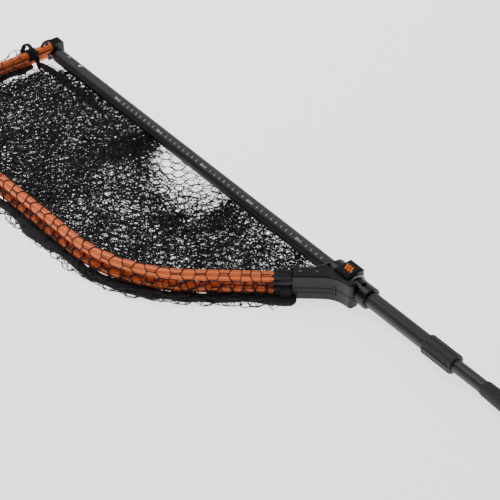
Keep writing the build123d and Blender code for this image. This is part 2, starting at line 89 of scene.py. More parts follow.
# ---- nodes --------------------------------------------------------------------------


class Wire:
    """A node's output that takes part in sums, products and differences."""

    def __init__(self, board: "NodeBoard", socket: bpy.types.NodeSocket) -> None:
        """Keeps the tree's board and the socket."""
        self.board = board
        self.socket = socket

    def _maths(self, operation: str, first: object, second: object) -> "Wire":
        """Adds one Math node.

        Args:
            operation: the node's operation.
            first: its first input.
            second: its second input.

        Returns:
            The node's result.
        """
        return self.board.add(
            "ShaderNodeMath", {"operation": operation}, {0: first, 1: second}
        )

    def __add__(self, other: object) -> "Wire":
        """self + other."""
        return self._maths("ADD", self, other)

    def __radd__(self, other: object) -> "Wire":
        """other + self."""
        return self._maths("ADD", other, self)

    def __sub__(self, other: object) -> "Wire":
        """self - other."""
        return self._maths("SUBTRACT", self, other)

    def __rsub__(self, other: object) -> "Wire":
        """other - self."""
        return self._maths("SUBTRACT", other, self)

    def __mul__(self, other: object) -> "Wire":
        """self * other."""
        return self._maths("MULTIPLY", self, other)

    def __rmul__(self, other: object) -> "Wire":
        """other * self."""
        return self._maths("MULTIPLY", other, self)

    def sine(self) -> "Wire":
        """The sine of the value."""
        return self._maths("SINE", self, 0.0)


class NodeBoard:
    """The nodes of one material or geometry tree."""

    def __init__(self, tree: bpy.types.NodeTree) -> None:
        """Keeps the tree."""
        self.tree = tree

    def node(
        self, kind: str, settings: dict[str, object], inputs: dict[object, object]
    ) -> bpy.types.Node:
        """Makes a node, sets its settings, then fills its sockets.

        Args:
            kind: the node's type name.
            settings: properties to set first; "stops" fills a colour ramp.
            inputs: socket name or index to a value, a Wire or a socket.

        Returns:
            The node.
        """
        made = self.tree.nodes.new(kind)
        for key, value in settings.items():
            if key == "stops":
                ramp = made.color_ramp
                while len(ramp.elements) < len(value):
                    ramp.elements.new(0.5)
                for element, (place, level) in zip(ramp.elements, value):
                    element.position = place
                    element.color = (level, level, level, 1)
            else:
                setattr(made, key, value)
        for key, value in inputs.items():
            socket = made.inputs[key]
            if isinstance(value, Wire):
                self.tree.links.new(value.socket, socket)
            elif isinstance(value, bpy.types.NodeSocket):
                self.tree.links.new(value, socket)
            else:
                socket.default_value = value
        return made

    def add(
        self,
        kind: str,
        settings: dict[str, object],
        inputs: dict[object, object],
        output: object = 0,
    ) -> Wire:
        """Makes a node and gives one of its outputs as a Wire.

        Args:
            kind: the node's type name.
            settings: properties to set first.
            inputs: socket name or index to its value.
            output: name or index of the output that is wanted.

        Returns:
            The output.
        """
        return Wire(self, self.node(kind, settings, inputs).outputs[output])


# ---- finishes -----------------------------------------------------------------------


@dataclass(frozen=True)
class Finish:
    """A surface: two colours that drift into each other, a gloss and a relief."""

    name: str
    colour: Colour
    worn: Colour
    roughness: float
    swing: float = 0.08
    metallic: float = 0.0
    coat: float = 0.0
    specular: float = 0.14
    glow: float = 0.0
    relief: Relief = Relief.GRAIN
    grain_size: float = 0.6 * MM
    depth: float = 0.05 * MM
    patch: float = 18 * MM

    def noise(self, board: NodeBoard, place: Wire, size: float, detail: float) -> Wire:
        """Smooth noise.

        Args:
            board: the material's nodes.
            place: coordinates.
            size: the length of its largest features.
            detail: how many finer layers it has.

        Returns:
            The noise, about 0 to 1.
        """
        inputs = {"Vector": place, "Scale": 1 / size, "Detail": detail}
        return board.add("ShaderNodeTexNoise", {}, inputs, "Fac")

    def height(self, board: NodeBoard, place: Wire) -> Wire:
        """The relief's height, from 0 to 1.

        Args:
            board: the material's nodes.
            place: object coordinates.

        Returns:
            The height.
        """
        if self.relief is Relief.WEAVE:
            parts = board.node("ShaderNodeSeparateXYZ", {}, {0: place})
            turns = math.tau / self.grain_size
            warp, weft, rise = (
                (Wire(board, output) * turns).sine() for output in parts.outputs
            )
            return warp * weft * 0.3 + rise * 0.15 + 0.5
        if self.relief is Relief.DIMPLES:
            cells = board.add(
                "ShaderNodeTexVoronoi", {"feature": "F1"},
                {"Vector": place, "Scale": 1 / self.grain_size, "Randomness": 0.25},
                "Distance",
            )
            return board.add(
                "ShaderNodeMapRange", {}, {0: cells, 1: 0.1, 2: 0.45, 3: 0.0, 4: 1.0}
            )
        if self.relief is Relief.BRUSHED:
            drawn = board.add(
                "ShaderNodeMapping", {}, {"Vector": place, "Scale": (0.06, 1.0, 1.0)}
            )
            return self.noise(board, drawn, self.grain_size, 3.0)
        return self.noise(board, place, self.grain_size, 4.0)

    def material(self) -> bpy.types.Material:
        """Builds the finish as a material.

        Returns:
            The material, made once for each name.
        """
        found = bpy.data.materials.get(self.name)
        if found:
            return found
        made = bpy.data.materials.new(self.name)
        made.use_nodes = True
        made.node_tree.nodes.clear()
        board = NodeBoard(made.node_tree)
        place = board.add("ShaderNodeTexCoord", {}, {}, "Object")
        clouds = self.noise(board, place, self.patch, 5.0)
        mask = board.add(
            "ShaderNodeValToRGB", {"stops": [(0.35, 0.0), (0.72, 1.0)]}, {0: clouds}
        )
        colour = board.add(
            "ShaderNodeMix", {"data_type": "RGBA"},
            {0: mask, 6: (*self.colour, 1), 7: (*self.worn, 1)}, 2,
        )
        gloss = clouds * (2 * self.swing) + (self.roughness - self.swing)
        bump = board.add(
            "ShaderNodeBump", {},
            {"Strength": 0.6, "Distance": self.depth, "Height": self.height(board, place)},
        )
        shader = board.add(
            "ShaderNodeBsdfPrincipled", {},
            {
                "Base Color": colour, "Roughness": gloss, "Metallic": self.metallic,
                "Coat Weight": self.coat, "Coat Roughness": 0.12,
                "Specular IOR Level": self.specular, "Emission Color": (*self.colour, 1),
                "Emission Strength": self.glow, "Normal": bump,
            },
        )
        board.node("ShaderNodeOutputMaterial", {}, {"Surface": shader})
        return made


NYLON = Finish(
    "satin_nylon", (0.0035, 0.0035, 0.0045), (0.006, 0.006, 0.0075), 0.36, specular=0.3,
    depth=0.06 * MM,
)
ACETAL = Finish("natural_acetal", (0.72, 0.7, 0.64), (0.6, 0.58, 0.52), 0.4)
ORANGE = Finish(
    "orange_anodised", (0.78, 0.044, 0.006), (0.7, 0.036, 0.005), 0.13, swing=0.02,
    metallic=1.0, relief=Relief.BRUSHED, grain_size=0.35 * MM, depth=0.003 * MM,
)
TUBE_BLACK = Finish(
    "black_anodised", (0.004, 0.004, 0.0055), (0.006, 0.006, 0.008), 0.26, swing=0.05,
    specular=0.06, relief=Relief.BRUSHED, grain_size=0.3 * MM, depth=0.005 * MM,
)
STEEL = Finish(
    "bright_steel", (0.8, 0.76, 0.7), (0.72, 0.66, 0.58), 0.16, 0.05, metallic=1.0
)
SPRING = Finish("spring_steel", (0.42, 0.42, 0.43), (0.34, 0.34, 0.35), 0.3, metallic=1.0)
SCREW = Finish("black_screw", (0.02, 0.02, 0.022), (0.05, 0.05, 0.052), 0.32, metallic=0.7)
RIVET = Finish("dull_rivet", (0.11, 0.105, 0.1), (0.2, 0.19, 0.17), 0.36, metallic=0.9)
GLOSS = Finish(
    "badge_gloss", (0.012, 0.012, 0.014), (0.016, 0.016, 0.018), 0.24, 0.04, coat=0.5
)
BADGE_ORANGE = Finish("badge_orange", (0.9, 0.2, 0.012), (0.84, 0.17, 0.01), 0.35)
COLLAR_BLACK = Finish(
    "collar_plastic", (0.0035, 0.0035, 0.0045), (0.006, 0.006, 0.0075), 0.36
)
GRIP_RUBBER = Finish(
    "grip_rubber", (0.004, 0.004, 0.005), (0.008, 0.008, 0.0095), 0.55,
    relief=Relief.DIMPLES, grain_size=2.6 * MM, depth=0.35 * MM,
)
NET_RUBBER = Finish(
    "net_rubber", (0.0018, 0.0018, 0.0022), (0.004, 0.004, 0.005), 0.34, specular=0.4,
    depth=0.04 * MM, patch=30 * MM,
)
WEBBING = Finish(
    "black_webbing", (0.0025, 0.0025, 0.003), (0.006, 0.006, 0.007), 0.88, specular=0.05,
    relief=Relief.WEAVE, grain_size=1.5 * MM, depth=0.3 * MM,
)
PRINT = Finish("white_print", (0.85, 0.85, 0.85), (0.7, 0.7, 0.71), 0.5)

NODE_FINISHES: dict[Finish, tuple[str, ...]] = {
    NYLON: (
        "lower_yoke", "upper_yoke", "hub_sleeve", "upper_tip_block", "lower_tip_block",
        "nose_plug", "butt_cap", "lock_ferrule",
    ),
    ACETAL: ("button_housing", "guide_bush", "lock_collet", "thrust_washers", "tip_washer"),
    ORANGE: ("upper_arm", "lower_arm"), TUBE_BLACK: ("outer_tube", "inner_tube"),
    SPRING: ("hub_circlip", "button_spring", "tip_pin", "tip_clip"),
    STEEL: ("snap_button", "nose_rivet"),
    SCREW: ("upper_tip_screws", "lower_tip_screws", "hub_set_screw"),
    RIVET: ("upper_arm_rivets", "lower_arm_rivets"), GLOSS: ("badge_plate",),
    COLLAR_BLACK: ("twist_collar",), GRIP_RUBBER: ("grip",),
}


# ---- mesh helpers -------------------------------------------------------------------


def linked(name: str, data: bpy.types.ID) -> bpy.types.Object:
    """An object of the scene that shows some data.

    Args:
        name: the object's name.
        data: a mesh, curve, light or camera.

    Returns:
        The object.
    """
    obj = bpy.data.objects.new(name, data)
    bpy.context.scene.collection.objects.link(obj)
    return obj


def evaluated(obj: bpy.types.Object) -> bpy.types.Mesh:
    """The mesh of an object with its modifiers; the object is removed.

    Args:
        obj: the object.

    Returns:
        A new mesh.
    """
    graph = bpy.context.evaluated_depsgraph_get()
    mesh = bpy.data.meshes.new_from_object(
        obj.evaluated_get(graph), preserve_all_data_layers=True, depsgraph=graph
    )
    bpy.data.objects.remove(obj)
    return mesh


def outwards(obj: bpy.types.Object) -> None:
    """Turns a closed mesh's faces outwards."""
    work = bmesh.new()
    work.from_mesh(obj.data)
    bmesh.ops.recalc_face_normals(work, faces=work.faces)
    work.to_mesh(obj.data)
    work.free()


def ring_faces(rows: int, around: int, closed: bool) -> list[list[int]]:
    """Four-sided faces between rings of points.

    Args:
        rows: how many rings there are.
        around: points in each ring.
        closed: whether the last ring joins the first.

    Returns:
        The faces, as indices of points that are numbered ring by ring.
    """
    faces = []
    for row in range(rows if closed else rows - 1):
        low, high = row * around, (row + 1) % rows * around
        for k in range(around):
            after = (k + 1) % around
            faces.append([low + k, low + after, high + after, high + k])
    return faces


def mesh_object(
    name: str, points: np.ndarray, faces: list, finish: Finish, smooth: bool = True
) -> bpy.types.Object:
    """A mesh object at the origin with one finish.

    Args:
        name: the piece's name.
        points: vertices in metres.
        faces: lists of vertex indices.
        finish: its finish.
        smooth: whether its faces are shaded smooth.

    Returns:
        The object, linked to the scene.
    """
    mesh = bpy.data.meshes.new(name)
    mesh.from_pydata([tuple(map(float, p)) for p in points], [], faces)
    mesh.update()
    if smooth:
        mesh.shade_smooth()
    mesh.materials.append(finish.material())
    return linked(name, mesh)


def baked(obj: bpy.types.Object, smooth: bool = True) -> bpy.types.Object:
    """Turns an object and its modifiers into a plain mesh object of the same name.

    Args:
        obj: the object, which is removed.
        smooth: whether the result is shaded smooth.

    Returns:
        The plain object.
    """
    name = obj.name
    mesh = evaluated(obj)
    if smooth:
        mesh.shade_smooth()
    mesh.name = name
    return linked(name, mesh)


class Recipe:
    """A Geometry Nodes tree with named inputs that is baked on an object."""

    def __init__(self, name: str, sizes: dict[str, float]) -> None:
        """Opens a tree.

        Args:
            name: the tree's name.
            sizes: named number inputs with their values.
        """
        self.tree = bpy.data.node_groups.new(name, "GeometryNodeTree")
        self.sizes = sizes
        sockets = [
            ("Geometry", "INPUT", "NodeSocketGeometry"),
            *((key, "INPUT", "NodeSocketFloat") for key in sizes),
            ("Geometry", "OUTPUT", "NodeSocketGeometry"),
        ]
        for key, way, kind in sockets:
            self.tree.interface.new_socket(key, in_out=way, socket_type=kind)
        self.board = NodeBoard(self.tree)
        self.entry = self.board.node("NodeGroupInput", {}, {})

    def size(self, key: str) -> Wire:
        """A named input's Wire."""
        return Wire(self.board, self.entry.outputs[key])

    def add(self, kind: str, settings: dict, inputs: dict, output: object = 0) -> Wire:
        """Adds a node to the tree and gives one output, as NodeBoard.add does."""
        return self.board.add(kind, settings, inputs, output)

    def start(self) -> Wire:
        """The geometry that the tree is given."""
        return Wire(self.board, self.entry.outputs[0])

    def vector(self, inputs: dict) -> Wire:
        """A vector put together from numbers, by the index of each part."""
        return self.add("ShaderNodeCombineXYZ", {}, inputs)

    def instances(self, points: Wire, instance: Wire, more: dict) -> Wire:
        """Puts an instance on points.

        Args:
            points: where instances stand.
            instance: what stands there.
            more: further inputs, such as a selection or a rotation.

        Returns:
            The instances.
        """
        inputs = {"Points": points, "Instance": instance, **more}
        return self.add("GeometryNodeInstanceOnPoints", {}, inputs)

    def close(self, geometry: Wire, finish: Finish) -> None:
        """Ends the tree in realised instances with a material.

        Args:
            geometry: what the tree has made.
            finish: its finish.
        """
        real = self.add("GeometryNodeRealizeInstances", {}, {0: geometry})
        dressed = self.add(
            "GeometryNodeSetMaterial", {}, {"Geometry": real, "Material": finish.material()}
        )
        self.board.node("NodeGroupOutput", {}, {0: dressed})

    def bake(self, obj: bpy.types.Object, smooth: bool = True) -> bpy.types.Object:
        """Runs the tree on an object.

        Args:
            obj: the object that carries the tree's input.
            smooth: whether the result is shaded smooth.

        Returns:
            A plain mesh object.
        """
        modifier = obj.modifiers.new("recipe", "NODES")
        modifier.node_group = self.tree
        for item in self.tree.interface.items_tree:
            if item.in_out == "INPUT" and item.name in self.sizes:
                modifier[item.identifier] = float(self.sizes[item.name])
        return baked(obj, smooth)


def empty_mesh(name: str) -> bpy.types.Object:
    """An object with an empty mesh, for a tree that makes everything itself."""
    return linked(name, bpy.data.meshes.new(name))


def distances(line: np.ndarray) -> np.ndarray:
    """How far along a line each of its points is, in metres."""
    gaps = np.linalg.norm(np.diff(line, axis=0), axis=1)
    return np.concatenate([[0], np.cumsum(gaps)])


def unit(rows: np.ndarray) -> np.ndarray:
    """Each row made one unit long."""
    return rows / np.linalg.norm(rows, axis=1)[:, None]


def off_tube(places: np.ndarray, clear: float) -> None:
    """Moves points that are too close to the handle tube's axis away from it.

    Args:
        places: (n, 3) positions, changed in place.
        clear: the distance from the axis that they keep.
    """
    reach = np.hypot(places[:, 1], places[:, 2] - AXIS_Z)
    hit = (reach < clear) & (places[:, 0] < TUBE_FRONT_X)
    scale = clear / np.maximum(reach[hit], 1e-6)
    places[hit, 1] *= scale
    places[hit, 2] = AXIS_Z + (places[hit, 2] - AXIS_Z) * scale


def ripple(places: np.ndarray, length: float, seed: int) -> np.ndarray:
    """A smooth random field, about -1 to 1.

    Args:
        places: (n, 2) or (n, 3) positions in metres.
        length: the shortest wave in metres.
        seed: fixes the field.

    Returns:
        One value for each place.
    """
    rng = np.random.default_rng(seed)
    total = np.zeros(len(places))
    for _ in range(7):
        way = rng.normal(size=places.shape[1])
        way *= math.tau / (length * rng.uniform(1.0, 2.4)) / np.linalg.norm(way)
        total += np.sin(places @ way + rng.uniform(0, math.tau))
    return total / 3.0


# ---- the arms' path -----------------------------------------------------------------


@dataclass
class HoopPath:
    """The centre line that both arms share, seen from above, in metres."""

    line: tuple[float, float] = (28 * MM, 63 * MM)
    angle: float = math.radians(49.6)
    mouth: float = 56 * MM
    side_start: float = 223 * MM
    head_width: float = 242 * MM
    tip_x: float = 644 * MM
    near_bend: float = 212 * MM
    far_bend: float = 140 * MM
    step: float = 4 * MM

    def __post_init__(self) -> None:
        """Samples the path and a map of the distance to it."""
        along = np.array([math.cos(self.angle), math.sin(self.angle)])
        foot = np.array(self.line)
        start = foot + along * (self.mouth - foot[1]) / along[1]
        corner = foot + along * (self.side_start - foot[1]) / along[1]
        far = np.array([self.tip_x, self.head_width])
        end = np.array([self.tip_x, 4.5 * MM])
        self.points = self._rounded([start, corner, far, end])
        self.lengths = distances(self.points)
        self.length = float(self.lengths[-1])
        ways = unit(np.gradient(self.points, axis=0))
        self.normals = np.stack([-ways[:, 1], ways[:, 0]], axis=1)
        self.cell = 2 * MM
        self.low = np.array([-20 * MM, -40 * MM])
        size = (370, 165)
        grid = np.stack(
            np.meshgrid(*(np.arange(n) * self.cell for n in size), indexing="ij"), -1
        )
        self.map = np.zeros((*size, 3))
        for row in range(size[0]):
            spots = grid[row] + self.low
            gap = spots[:, None, :] - self.points[None]
            best = np.argmin((gap**2).sum(-1), axis=1)
            side = (gap[np.arange(len(best)), best] * self.normals[best]).sum(-1)
            self.map[row, :, 0] = side
            self.map[row, :, 1:] = self.normals[best]

    def _rounded(self, corners: list[np.ndarray]) -> np.ndarray:
        """The path through the corners with both bends.

        Args:
            corners: the start, two corners and the end.

        Returns:
            Points about one step apart.
        """
        runs: list[np.ndarray] = []
        last = corners[0]
        for index, radius in ((1, self.near_bend), (2, self.far_bend)):
            into = corners[index] - corners[index - 1]
            into /= np.linalg.norm(into)
            out = corners[index + 1] - corners[index]
            out /= np.linalg.norm(out)
            turn = math.acos(float(into @ out))
            cut = radius * math.tan(turn / 2)
            first = corners[index] - into * cut
            inward = np.array([into[1], -into[0]])
            centre = first + inward * radius
            runs.append(self._straight(last, first))
            count = max(2, int(radius * turn / self.step))
            for part in np.linspace(0, turn, count, endpoint=False):
                runs.append(
                    (
                        centre
                        - inward * radius * math.cos(part)
                        + into * radius * math.sin(part)
                    )[None]
                )
            last = corners[index] + out * cut
        runs.append(self._straight(last, corners[-1]))
        runs.append(corners[-1][None])
        return np.concatenate(runs)

    def _straight(self, first: np.ndarray, last: np.ndarray) -> np.ndarray:
        """Points from first to just before last."""
        count = max(2, int(np.linalg.norm(last - first) / self.step))
        part = np.linspace(0, 1, count, endpoint=False)[:, None]
        return first + (last - first) * part

    def at(self, s: np.ndarray, offset: np.ndarray) -> np.ndarray:
        """Positions along the path, moved outward.

        Args:
            s: distances along the path.
            offset: distances outward from it.

        Returns:
            (n, 2) positions.
        """
        centre = np.stack(
            [np.interp(s, self.lengths, self.points[:, k]) for k in (0, 1)], -1
        )
        normal = np.stack(
            [np.interp(s, self.lengths, self.normals[:, k]) for k in (0, 1)], -1
        )
        beyond = np.minimum(s, 0) + np.maximum(s - self.length, 0)
        way = np.stack([normal[:, 1], -normal[:, 0]], -1)
        return centre + normal * offset[:, None] + way * beyond[:, None]

    def near(self, spots: np.ndarray) -> tuple[np.ndarray, np.ndarray]:
        """Signed distance outward from the path, and the outward direction.

        Args:
            spots: (n, 2) positions.

        Returns:
            The distances and the directions.
        """
        index = ((spots - self.low) / self.cell + 0.5).astype(int)
        index = np.clip(index, 0, np.array(self.map.shape[:2]) - 1)
        found = self.map[index[:, 0], index[:, 1]]
        centre = index * self.cell + self.low
        side = found[:, 0] + ((spots - centre) * found[:, 1:]).sum(-1)
        return side, found[:, 1:]

    def push_out(self, places: np.ndarray, margin: float) -> None:
        """Moves points that are inside an arm or the tube to its surface.

        Args:
            places: (n, 3) positions, changed in place.
            margin: how far off the surface they end.
        """
        side, way = self.near(places[:, :2])
        for height in (UPPER_Z, LOWER_Z):
            rise = places[:, 2] - height
            reach = np.hypot(side, rise)
            hit = (reach < ARM_R + margin) & (places[:, 1] > HUB_Y)
            scale = (ARM_R + margin) / np.maximum(reach[hit], 1e-6) - 1
            places[hit, :2] += way[hit] * (side[hit] * scale)[:, None]
            places[hit, 2] += rise[hit] * scale
            side[hit] *= 1 + scale
        off_tube(places, TUBE_R + margin)

    def inner_y(self, x: float, clear: float) -> float:
        """How far +Y the room inside the hoop reaches at x."""
        ys = np.arange(0, 260) * MM
        side, _ = self.near(np.stack([np.full(len(ys), x), ys], -1))
        inside = ys[side < -clear]
        return float(inside.max()) if len(inside) else 0.0


# ---- netting ------------------------------------------------------------------------


@dataclass
class Lattice:
    """A flat sheet of six-sided cells: rows across, pairs of knots along a row."""

    length: float
    width: float
    side: float = 10 * MM

    def __post_init__(self) -> None:
        """Lays out knots and the strands between them."""
        self.pairs = max(2, int(self.length / (3 * self.side)))
        self.rows = max(3, int(self.width / (self.side * math.sqrt(3) / 2)) + 1)
        row, pair, right = np.meshgrid(
            np.arange(self.rows), np.arange(self.pairs), np.arange(2), indexing="ij"
        )
        u = (3 * pair + right + 1.5 * (row % 2)) * self.side
        v = row * self.side * math.sqrt(3) / 2
        self.flat = np.stack([u.ravel(), v.ravel()], -1)
        number = np.arange(self.flat.shape[0]).reshape(row.shape)
        self.number = number
        level = np.stack([number[:, :, 0].ravel(), number[:, :, 1].ravel()], -1)
        climbs = []
        for start in (0, 1):
            found = []
            for lower in range(start, self.rows - 1, 2):
                even, odd = (lower, lower + 1) if lower % 2 == 0 else (lower + 1, lower)
                found.append(np.stack([number[even, :, 1], number[odd, :, 0]], -1))
                found.append(np.stack([number[even, 1:, 0], number[odd, :-1, 1]], -1))
            climbs.append(np.concatenate(found))
        self.sets = [level, *climbs]
        self.strands = np.concatenate(self.sets)
        self.wide = self._across()

    def _across(self) -> np.ndarray:
        """Pairs of knots that share a neighbour, which hold the cells open."""
        near: list[list[int]] = [[] for _ in range(len(self.flat))]
        for a, b in self.strands:
            near[a].append(int(b))
            near[b].append(int(a))
        found = [
            (group[i], group[j])
            for group in near
            for i in range(len(group))
            for j in range(i)
        ]
        return np.array(found)

    def cut(self, mask: np.ndarray) -> np.ndarray:
        """Cuts the sheet down to some of its knots, leaving no loose ends.

        Args:
            mask: which knots stay.

        Returns:
            Which knots stayed.
        """
        for _ in range(4):
            count = np.zeros(len(mask))
            for group in self.sets:
                np.add.at(count, group[mask[group].all(1)].ravel(), 1)
            mask = mask & (count >= 2)
        index = np.cumsum(mask) - 1
        self.flat = self.flat[mask]
        self.sets = [index[group[mask[group].all(1)]] for group in self.sets]
        self.strands = np.concatenate(self.sets)
        self.wide = index[self.wide[mask[self.wide].all(1)]]
        return mask

    def edge_rows(self) -> tuple[np.ndarray, np.ndarray]:
        """The knots of the first row and of the last."""
        return self.number[0].ravel(), self.number[-1].ravel()


@dataclass
class Settling:
    """Lets a net of strands fall, slide and crumple against the frame and the floor."""

    path: HoopPath
    lattice: Lattice
    steps: int
    gravity: float = 0.25 * MM
    drag: float = 0.86
    stiffness: float = 0.12
    pile: float = 1.5 * MM
    pile_top: float = 24 * MM
    ground: float = 0.0
    strand: float = 0.75 * MM
    inner_limit: float | None = None
    pile_cell: float = 9 * MM
    under_tube: tuple[float, float] = (14 * MM, 7 * MM)
    sweeps: int = 3
    support_every: int = 8
    least_width: float = 0.9
    slack: float = 0.5
    lift: float = 0.5
    rub: float = 0.6

    def run(self, start: np.ndarray, held: np.ndarray) -> np.ndarray:
        """Settles the net.

        Args:
            start: (n, 3) positions of the knots.
            held: knots that stay where they are.

        Returns:
            The settled positions.
        """
        place = start.copy()
        before = start.copy()
        free = np.ones((len(place), 1))
        free[held] = 0.0
        support = np.full(len(place), self.strand)
        rest = self.lattice.side
        wide = self.lattice.wide
        wide_rest = rest * math.sqrt(3)
        share = np.zeros((len(place), 1))
        np.add.at(share, wide.ravel(), 1.0)
        share = self.stiffness / np.maximum(share, 1) * free
        for step in range(self.steps):
            speed = (place - before) * self.drag
            before = place.copy()
            place = place + speed * free
            place[:, 2] -= self.gravity * free[:, 0]
            for _ in range(self.sweeps):
                for group in self.lattice.sets:
                    self._hold(place, group, rest, free)
            gap = place[wide[:, 1]] - place[wide[:, 0]]
            far = np.linalg.norm(gap, axis=1) + 1e-9
            push = gap * (np.minimum(far - wide_rest * self.least_width, 0) / far)[:, None]
            move = np.zeros_like(place)
            for axis in range(3):
                move[:, axis] = np.bincount(
                    wide[:, 0], push[:, axis], len(place)
                ) - np.bincount(wide[:, 1], push[:, axis], len(place))
            place += move * share
            if step % self.support_every == 0:
                support = self._support(place)
            self._touch(place, before, support, free)
        return place

    def _hold(
        self, place: np.ndarray, group: np.ndarray, rest: float, free: np.ndarray
    ) -> None:
        """Pulls or pushes the ends of each strand of a set to its length."""
        a, b = group[:, 0], group[:, 1]
        gap = place[b] - place[a]
        far = np.linalg.norm(gap, axis=1)[:, None] + 1e-9
        weight = free[a] + free[b]
        weight[weight == 0] = 1
        excess = far - rest
        slack = np.where(excess < 0, self.slack, 1.0)
        move = gap / far * excess * slack / weight
        place[a] += move * free[a]
        place[b] -= move * free[b]

    def _support(self, place: np.ndarray) -> np.ndarray:
        """The height that what lies underneath gives each knot."""
        cell = np.floor(place[:, :2] / self.pile_cell).astype(int)
        key = cell[:, 0] * 10000 + cell[:, 1]
        order = np.lexsort((place[:, 2], key))
        ranked = key[order]
        first = np.concatenate([[True], ranked[1:] != ranked[:-1]])
        begin = np.maximum.accumulate(np.where(first, np.arange(len(key)), 0))
        rank = np.zeros(len(key))
        rank[order] = np.arange(len(key)) - begin
        low = self.strand + self.ground + rank * self.pile
        side, most = self.under_tube
        under = place[:, 1] < side
        low[under] = np.minimum(low[under], most)
        return np.minimum(low, self.pile_top)

    def _touch(
        self, place: np.ndarray, before: np.ndarray, support: np.ndarray, free: np.ndarray
    ) -> None:
        """Keeps knots above the floor and outside the arms and the tube."""
        low = place[:, 2] < support
        place[low, 2] += (support[low] - place[low, 2]) * self.lift * free[low, 0]
        floor = place[:, 2] < self.strand
        place[floor, 2] = self.strand
        rub = (low[:, None] * self.rub) * free
        place[:, :2] += (before[:, :2] - place[:, :2]) * rub
        side, way = self.path.near(place[:, :2])
        for height in (UPPER_Z, LOWER_Z):
            self._round(place, side, way, height, free)
        if self.inner_limit is not None:
            over = np.maximum(side + self.inner_limit, 0)[:, None]
            place[:, :2] -= way * over * free
        off_tube(place, TUBE_R + 1.3 * self.strand)

    def _round(
        self,
        place: np.ndarray,
        side: np.ndarray,
        way: np.ndarray,
        height: float,
        free: np.ndarray,
    ) -> None:
        """Keeps knots outside one arm."""
        rise = place[:, 2] - height
        reach = np.hypot(side, rise)
        clear = ARM_R + 1.2 * self.strand
        hit = (reach < clear) & (place[:, 1] > HUB_Y)
        scale = (clear / np.maximum(reach[hit], 1e-6) - 1)[:, None] * free[hit]
        place[hit, :2] += way[hit] * side[hit][:, None] * scale
        place[hit, 2] += rise[hit] * scale[:, 0]


@dataclass
class StrandMaker:
    """Turns knots and strands into round rubber strands with thicker knots."""

    path: HoopPath
    radius: float = 0.58 * MM
    knot: float = 0.8 * MM
    bow: float = 0.5 * MM

    def _bent(self, knots: np.ndarray, strands: np.ndarray, cuts: int) -> np.ndarray:
        """The points along each strand, bent a little and kept off the arms.

        Args:
            knots: (n, 3) positions.
            strands: (m, 2) indices.
            cuts: points between a strand's ends.

        Returns:
            (m, cuts + 2, 3) positions.
        """
        rng = np.random.default_rng(len(strands))
        part = np.linspace(0, 1, cuts + 2)[None, :, None]
        first, last = knots[strands[:, 0]][:, None], knots[strands[:, 1]][:, None]
        shift = rng.normal(size=(len(strands), 1, 3)) * self.bow
        points = first + (last - first) * part + shift * np.sin(part * math.pi)
        flat = points.reshape(-1, 3)
        flat[:, 2] = np.maximum(flat[:, 2], self.radius)
        for _ in range(2):
            self.path.push_out(flat, self.radius + 0.1 * MM)
        return flat.reshape(points.shape)

    def build(
        self, name: str, knots: np.ndarray, strands: np.ndarray, cuts: int = 1
    ) -> bpy.types.Object:
        """Makes the netting's mesh.

        Args:
            name: the piece's name.
            knots: (n, 3) positions.
            strands: (m, 2) indices.
            cuts: points between a strand's ends.

        Returns:
            A plain mesh object.
        """
        recipe = Recipe(
            "strands_of_" + name, {"Strand Radius": self.radius, "Knot Radius": self.knot}
        )
        entry = recipe.start()
        lines = recipe.add("GeometryNodeMeshToCurve", {}, {0: entry})
        ring = recipe.add(
            "GeometryNodeCurvePrimitiveCircle", {},
            {"Resolution": 5, "Radius": recipe.size("Strand Radius")},
        )
        tubes = recipe.add(
            "GeometryNodeCurveToMesh", {}, {"Curve": lines, "Profile Curve": ring}
        )
        is_knot = recipe.add(
            "GeometryNodeInputNamedAttribute", {"data_type": "BOOLEAN"}, {"Name": "knot"}
        )
        ball = recipe.add(
            "GeometryNodeMeshIcoSphere", {},
            {"Radius": recipe.size("Knot Radius"), "Subdivisions": 1},
        )
        knobs = recipe.instances(entry, ball, {"Selection": is_knot})
        joined = recipe.board.node("GeometryNodeJoinGeometry", {}, {0: tubes})
        recipe.tree.links.new(knobs.socket, joined.inputs[0])
        recipe.close(Wire(recipe.board, joined.outputs[0]), NET_RUBBER)
        lines_at = self._bent(knots, strands, cuts)
        count = cuts + 2
        used = np.unique(strands)
        points = np.concatenate([lines_at.reshape(-1, 3), knots[used]])
        start = np.arange(len(strands))[:, None] * count + np.arange(count - 1)
        edges = np.stack([start, start + 1], -1).reshape(-1, 2)
        mesh = bpy.data.meshes.new(name)
        mesh.from_pydata(points.tolist(), edges.tolist(), [])
        flag = mesh.attributes.new("knot", "BOOLEAN", "POINT")
        flag.data.foreach_set("value", np.arange(len(points)) >= count * len(strands))
        return recipe.bake(linked(name, mesh))


